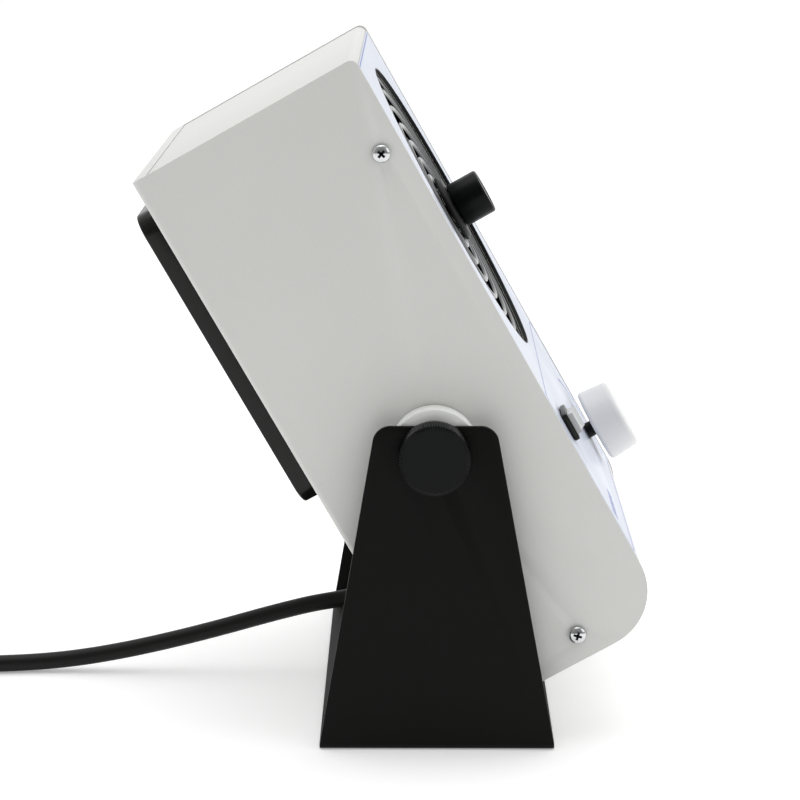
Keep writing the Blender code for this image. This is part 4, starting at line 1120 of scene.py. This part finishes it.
GLOSS_BLACK = grained("gloss_black", (16, 18, 15), 0.25, scale=600, depth=0.06, drift=0.1, shade=0.05,
                      specular=0.25)
FOAM_BLACK = grained("foam_black", (38, 39, 38), 0.9, scale=1500, depth=1.0, drift=0.05, shade=0.5)
half_filter = (filter_high.x - filter_low.x) / 2
face_span = CELL_PITCH * GRID_CELLS
clear_selection()
bpy.ops.mesh.primitive_grid_add(x_subdivisions=GRID_CELLS, y_subdivisions=GRID_CELLS, size=face_span)
grid_cover = bpy.context.object
bpy.ops.object.mode_set(mode="EDIT")
bpy.ops.mesh.select_all(action="SELECT")
bpy.ops.transform.translate(value=(0, 0, filter_high.y))
bpy.ops.mesh.select_mode(type="FACE")
bpy.ops.mesh.inset(thickness=(CELL_PITCH - CELL) / 2, use_individual=True)
bpy.ops.mesh.delete(type="FACE")
pick("EDGE", lambda edge: max(abs(middle_of(edge).x), abs(middle_of(edge).y)) > face_span / 2 - 0.1 * MM)
bpy.ops.mesh.extrude_region_move(TRANSFORM_OT_translate={"value": (0, 0, 0)})
bpy.ops.transform.resize(value=(2 * half_filter / face_span, 2 * half_filter / face_span, 1),
                         center_override=(0, 0, 0))
bpy.ops.mesh.extrude_region_move(TRANSFORM_OT_translate={"value": (0, 0, filter_low.y - filter_high.y)})
pick("EDGE", lambda edge: abs(edge.verts[0].co.z - edge.verts[1].co.z) > MM
     and min(abs(middle_of(edge).x), abs(middle_of(edge).y)) > half_filter - MM)
bpy.ops.mesh.bevel(offset=COVER_CORNER, segments=8, affect="EDGES")
leave_edit()
merge_doubles(grid_cover)
apply(grid_cover, "SOLIDIFY", thickness=FACE_WALL, offset=-1, use_even_offset=True)
soften(grid_cover, 0.7 * MM, 3, 40)
grid_cover.data.transform(facing_back(0, filter_middle.z))
hand_over(grid_cover, "grid_cover", GLOSS_BLACK, "filter_cover", "gloss_black", "filter_cover")
refinish(GLOSS_BLACK, "filter_base")
refinish(FOAM_BLACK, "filter_foam")


# Speed control: a pale moulded knob with a slight taper and rounded edges, standing off the panel on
# a black shaft that turns in the bush of a rotary control.
KNOB_EDGE = 1.6 * MM
KNOB_TAPER = 1.0 * MM
SPEED_BORE = 3.3 * MM
SPEED_BORE_ROOF = 3 * MM
SPEED_SHAFT_RADIUS = 3 * MM

KNOB_PALE = grained("knob_pale", (222, 222, 223), 0.38, scale=900, depth=0.1, drift=0.1, shade=0.03)
knob_rim = (speed_high.x - speed_low.x) / 2
knob_face = -speed_low.y
knob_foot = -speed_high.y
bore_roof = knob_face - SPEED_BORE_ROOF
speed_knob = turned([(0, knob_face), (knob_rim - KNOB_TAPER, knob_face), (knob_rim, knob_foot),
                     (SPEED_BORE, knob_foot), (SPEED_BORE, bore_roof), (0, bore_roof)], steps=128)
apply(speed_knob, "BEVEL", width=KNOB_EDGE, segments=8, limit_method="ANGLE", angle_limit=radians(60))
take(speed_knob)
bpy.ops.object.shade_smooth_by_angle(angle=radians(SHARP_ANGLE))
speed_knob.data.transform(facing_front(speed_middle.x, speed_middle.z))
hand_over(speed_knob, "pale_knob", KNOB_PALE, "speed_knob", "knob_pale", "speed_knob")
speed_shaft_low, speed_shaft_high = upright_box("speed_shaft")
speed_shaft = turned([(0, -speed_shaft_low.y), (SPEED_SHAFT_RADIUS, -speed_shaft_low.y),
                      (SPEED_SHAFT_RADIUS, -speed_shaft_high.y), (0, -speed_shaft_high.y)],
                     steps=48, soft=0.3 * MM)
speed_shaft.data.transform(facing_front(speed_middle.x, speed_middle.z))
hand_over(speed_shaft, "control_shaft", HUB_BLACK, "speed_knob", "knob_black", "speed_shaft")


# Switch: a black bezel that clips into the panel, round a glossy pale rocker with a dished top.
BARREL_START = 0.5 * MM
BEZEL_CORNER = 1.0 * MM
BARREL_HALF = (6.4 * MM, 4.6 * MM)
WELL_HALF = (5.95 * MM, 4.2 * MM)
WELL_FLOOR = 4 * MM
ROCKER_TIP = 12
ROCKER_HALF = 3.9 * MM
ROCKER_REACH = 5.3 * MM
ROCKER_CREST = 4.6 * MM
ROCKER_LIFT = 5.5 * MM
ROCKER_DISH = 1.1 * MM
ROCKER_FOOT = 3.5 * MM
ROCKER_SHOULDER = 1.0 * MM
ROCKER_CUTS = (-4.6, -3.5, -2.4, -1.2, 0, 1.2, 2.4, 3.5, 4.6)

bezel_base = chassis_low.y - BARREL_START
bezel = block((switch_low.x, switch_low.y, switch_low.z), (switch_high.x, bezel_base, switch_high.z))
pick("EDGE", lambda edge: abs(edge.verts[0].co.y - edge.verts[1].co.y) > MM)
bpy.ops.mesh.bevel(offset=BEZEL_CORNER, segments=5, affect="EDGES")
leave_edit()
soften(bezel, 0.5 * MM, 3)
barrel = block((switch_middle.x - BARREL_HALF[0], bezel_base - 0.2 * MM, switch_middle.z - BARREL_HALF[1]),
               (switch_middle.x + BARREL_HALF[0], switch_high.y, switch_middle.z + BARREL_HALF[1]))
leave_edit()
apply(bezel, "BOOLEAN", object=barrel, operation="UNION", solver="EXACT")
bpy.data.objects.remove(barrel)
well = block((switch_middle.x - WELL_HALF[0], switch_low.y - MM, switch_middle.z - WELL_HALF[1]),
             (switch_middle.x + WELL_HALF[0], switch_high.y - WELL_FLOOR, switch_middle.z + WELL_HALF[1]))
leave_edit()
cut_with(bezel, well)
take(bezel)
bpy.ops.object.shade_smooth_by_angle(angle=radians(SHARP_ANGLE))
bezel.data.transform(HOUSING)
hand_over(bezel, "switch_bezel", GLOSS_BLACK, "housing", "gloss_black", "switch_body")

ROCKER_PALE = grained("rocker_pale", (190, 192, 193), 0.16, scale=400, depth=0.03, drift=0.06, shade=0.02)
rocker_axis = HOUSING.inverted() @ Vector(joints["rocker_tip"]["pos_m"])
rocker = block((-ROCKER_REACH, -ROCKER_LIFT - ROCKER_DISH, -ROCKER_HALF),
               (ROCKER_REACH, ROCKER_FOOT, ROCKER_HALF))
for place in ROCKER_CUTS:
    bpy.ops.mesh.select_all(action="SELECT")
    bpy.ops.mesh.bisect(plane_co=(place * MM, 0, 0), plane_no=(1, 0, 0))
leave_edit()
for vertex in rocker.data.vertices:
    share = vertex.co.x / ROCKER_CREST
    on_top = vertex.co.y < 0
    if on_top:
        vertex.co.y = -(ROCKER_LIFT + ROCKER_DISH * min(share * share, 1))
    if abs(share) > 1:
        vertex.co.y = -ROCKER_SHOULDER if on_top else ROCKER_SHOULDER
soften(rocker, 0.35 * MM, 3, 30)
rocker.data.transform(Matrix.Rotation(-radians(ROCKER_TIP), 4, "Z"))
rocker.data.transform(HOUSING @ Matrix.Translation(rocker_axis))
hand_over(rocker, "rocker_cap", ROCKER_PALE, "rocker", "rocker_pale", "rocker")


# Inside: a circuit board on four brass standoffs, with a potted power module on it.
BOARD_GREEN = grained("board_green", (34, 92, 58), 0.4, scale=1300, depth=0.3, drift=0.15, shade=0.3)
refinish(BOARD_GREEN, "circuit_board")
refinish(PIN_BRASS, *[f"board_standoff_{number}" for number in range(1, 5)])
refinish(GLOSS_BLACK, "power_module")


# Floor and light: a white seamless floor under a bright sky that darkens towards the camera, as in
# a light tent with an open front, and a large soft light overhead. The camera sees the tent as white.
FLOOR_SIZE = 8
FLOOR_GLOW = 0.28
TENT_STRENGTH = 1.05
TENT_OPENING = [(0.0, 0.2), (0.38, 0.55), (0.62, 1.0), (1.0, 1.0)]
LIGHTS = [
    ("overhead", (0.1, 0.1, 1.5), 1.4, 9),
    ("front_fill", (-0.7, -1.4, 0.9), 1.0, 3)]

floor = plane(FLOOR_SIZE, FLOOR_SIZE, (0, 0, 0))
leave_edit()
floor.name = "floor"
FLOOR_WHITE = grained("floor_white", (250, 250, 250), 0.9, scale=60, depth=0.02, drift=0.02, shade=0.01,
                      specular=0.0)
floor_shader = FLOOR_WHITE.node_tree.nodes["Principled BSDF"]
floor_shader.inputs["Emission Color"].default_value = (1, 1, 1, 1)
floor_shader.inputs["Emission Strength"].default_value = FLOOR_GLOW
floor.data.materials.append(FLOOR_WHITE)

world = bpy.data.worlds.new("studio")
bpy.context.scene.world = world
world.use_nodes = True
sky = world.node_tree
nodes = sky.nodes
look = nodes.new("ShaderNodeSeparateXYZ")
sky.links.new(nodes.new("ShaderNodeTexCoord").outputs["Generated"], look.inputs[0])
share = nodes.new("ShaderNodeMapRange")
share.inputs["From Min"].default_value = -1
share.inputs["From Max"].default_value = 1
sky.links.new(look.outputs["X"], share.inputs["Value"])
ramp = nodes.new("ShaderNodeValToRGB")
for stop, (place, level) in enumerate(TENT_OPENING):
    element = ramp.color_ramp.elements[stop] if stop < 2 else ramp.color_ramp.elements.new(place)
    element.position = place
    element.color = (level, level, level, 1)
sky.links.new(share.outputs["Result"], ramp.inputs["Fac"])
background = nodes["Background"]
background.inputs["Strength"].default_value = TENT_STRENGTH
sky.links.new(ramp.outputs["Color"], background.inputs["Color"])
seen = nodes.new("ShaderNodeBackground")
path = nodes.new("ShaderNodeLightPath")
mixed = nodes.new("ShaderNodeMixShader")
sky.links.new(path.outputs["Is Camera Ray"], mixed.inputs["Fac"])
sky.links.new(background.outputs[0], mixed.inputs[1])
sky.links.new(seen.outputs[0], mixed.inputs[2])
sky.links.new(mixed.outputs[0], nodes["World Output"].inputs["Surface"])
for name, place, size, power in LIGHTS:
    light = bpy.data.objects.new(name, bpy.data.lights.new(name, "AREA"))
    bpy.context.scene.collection.objects.link(light)
    light.location = place
    light.rotation_euler = (Vector((0, 0, 0.1)) - Vector(place)).to_track_quat("-Z", "Y").to_euler()
    light.data.size = size
    light.data.energy = power
bpy.context.scene.view_settings.view_transform = "Standard"
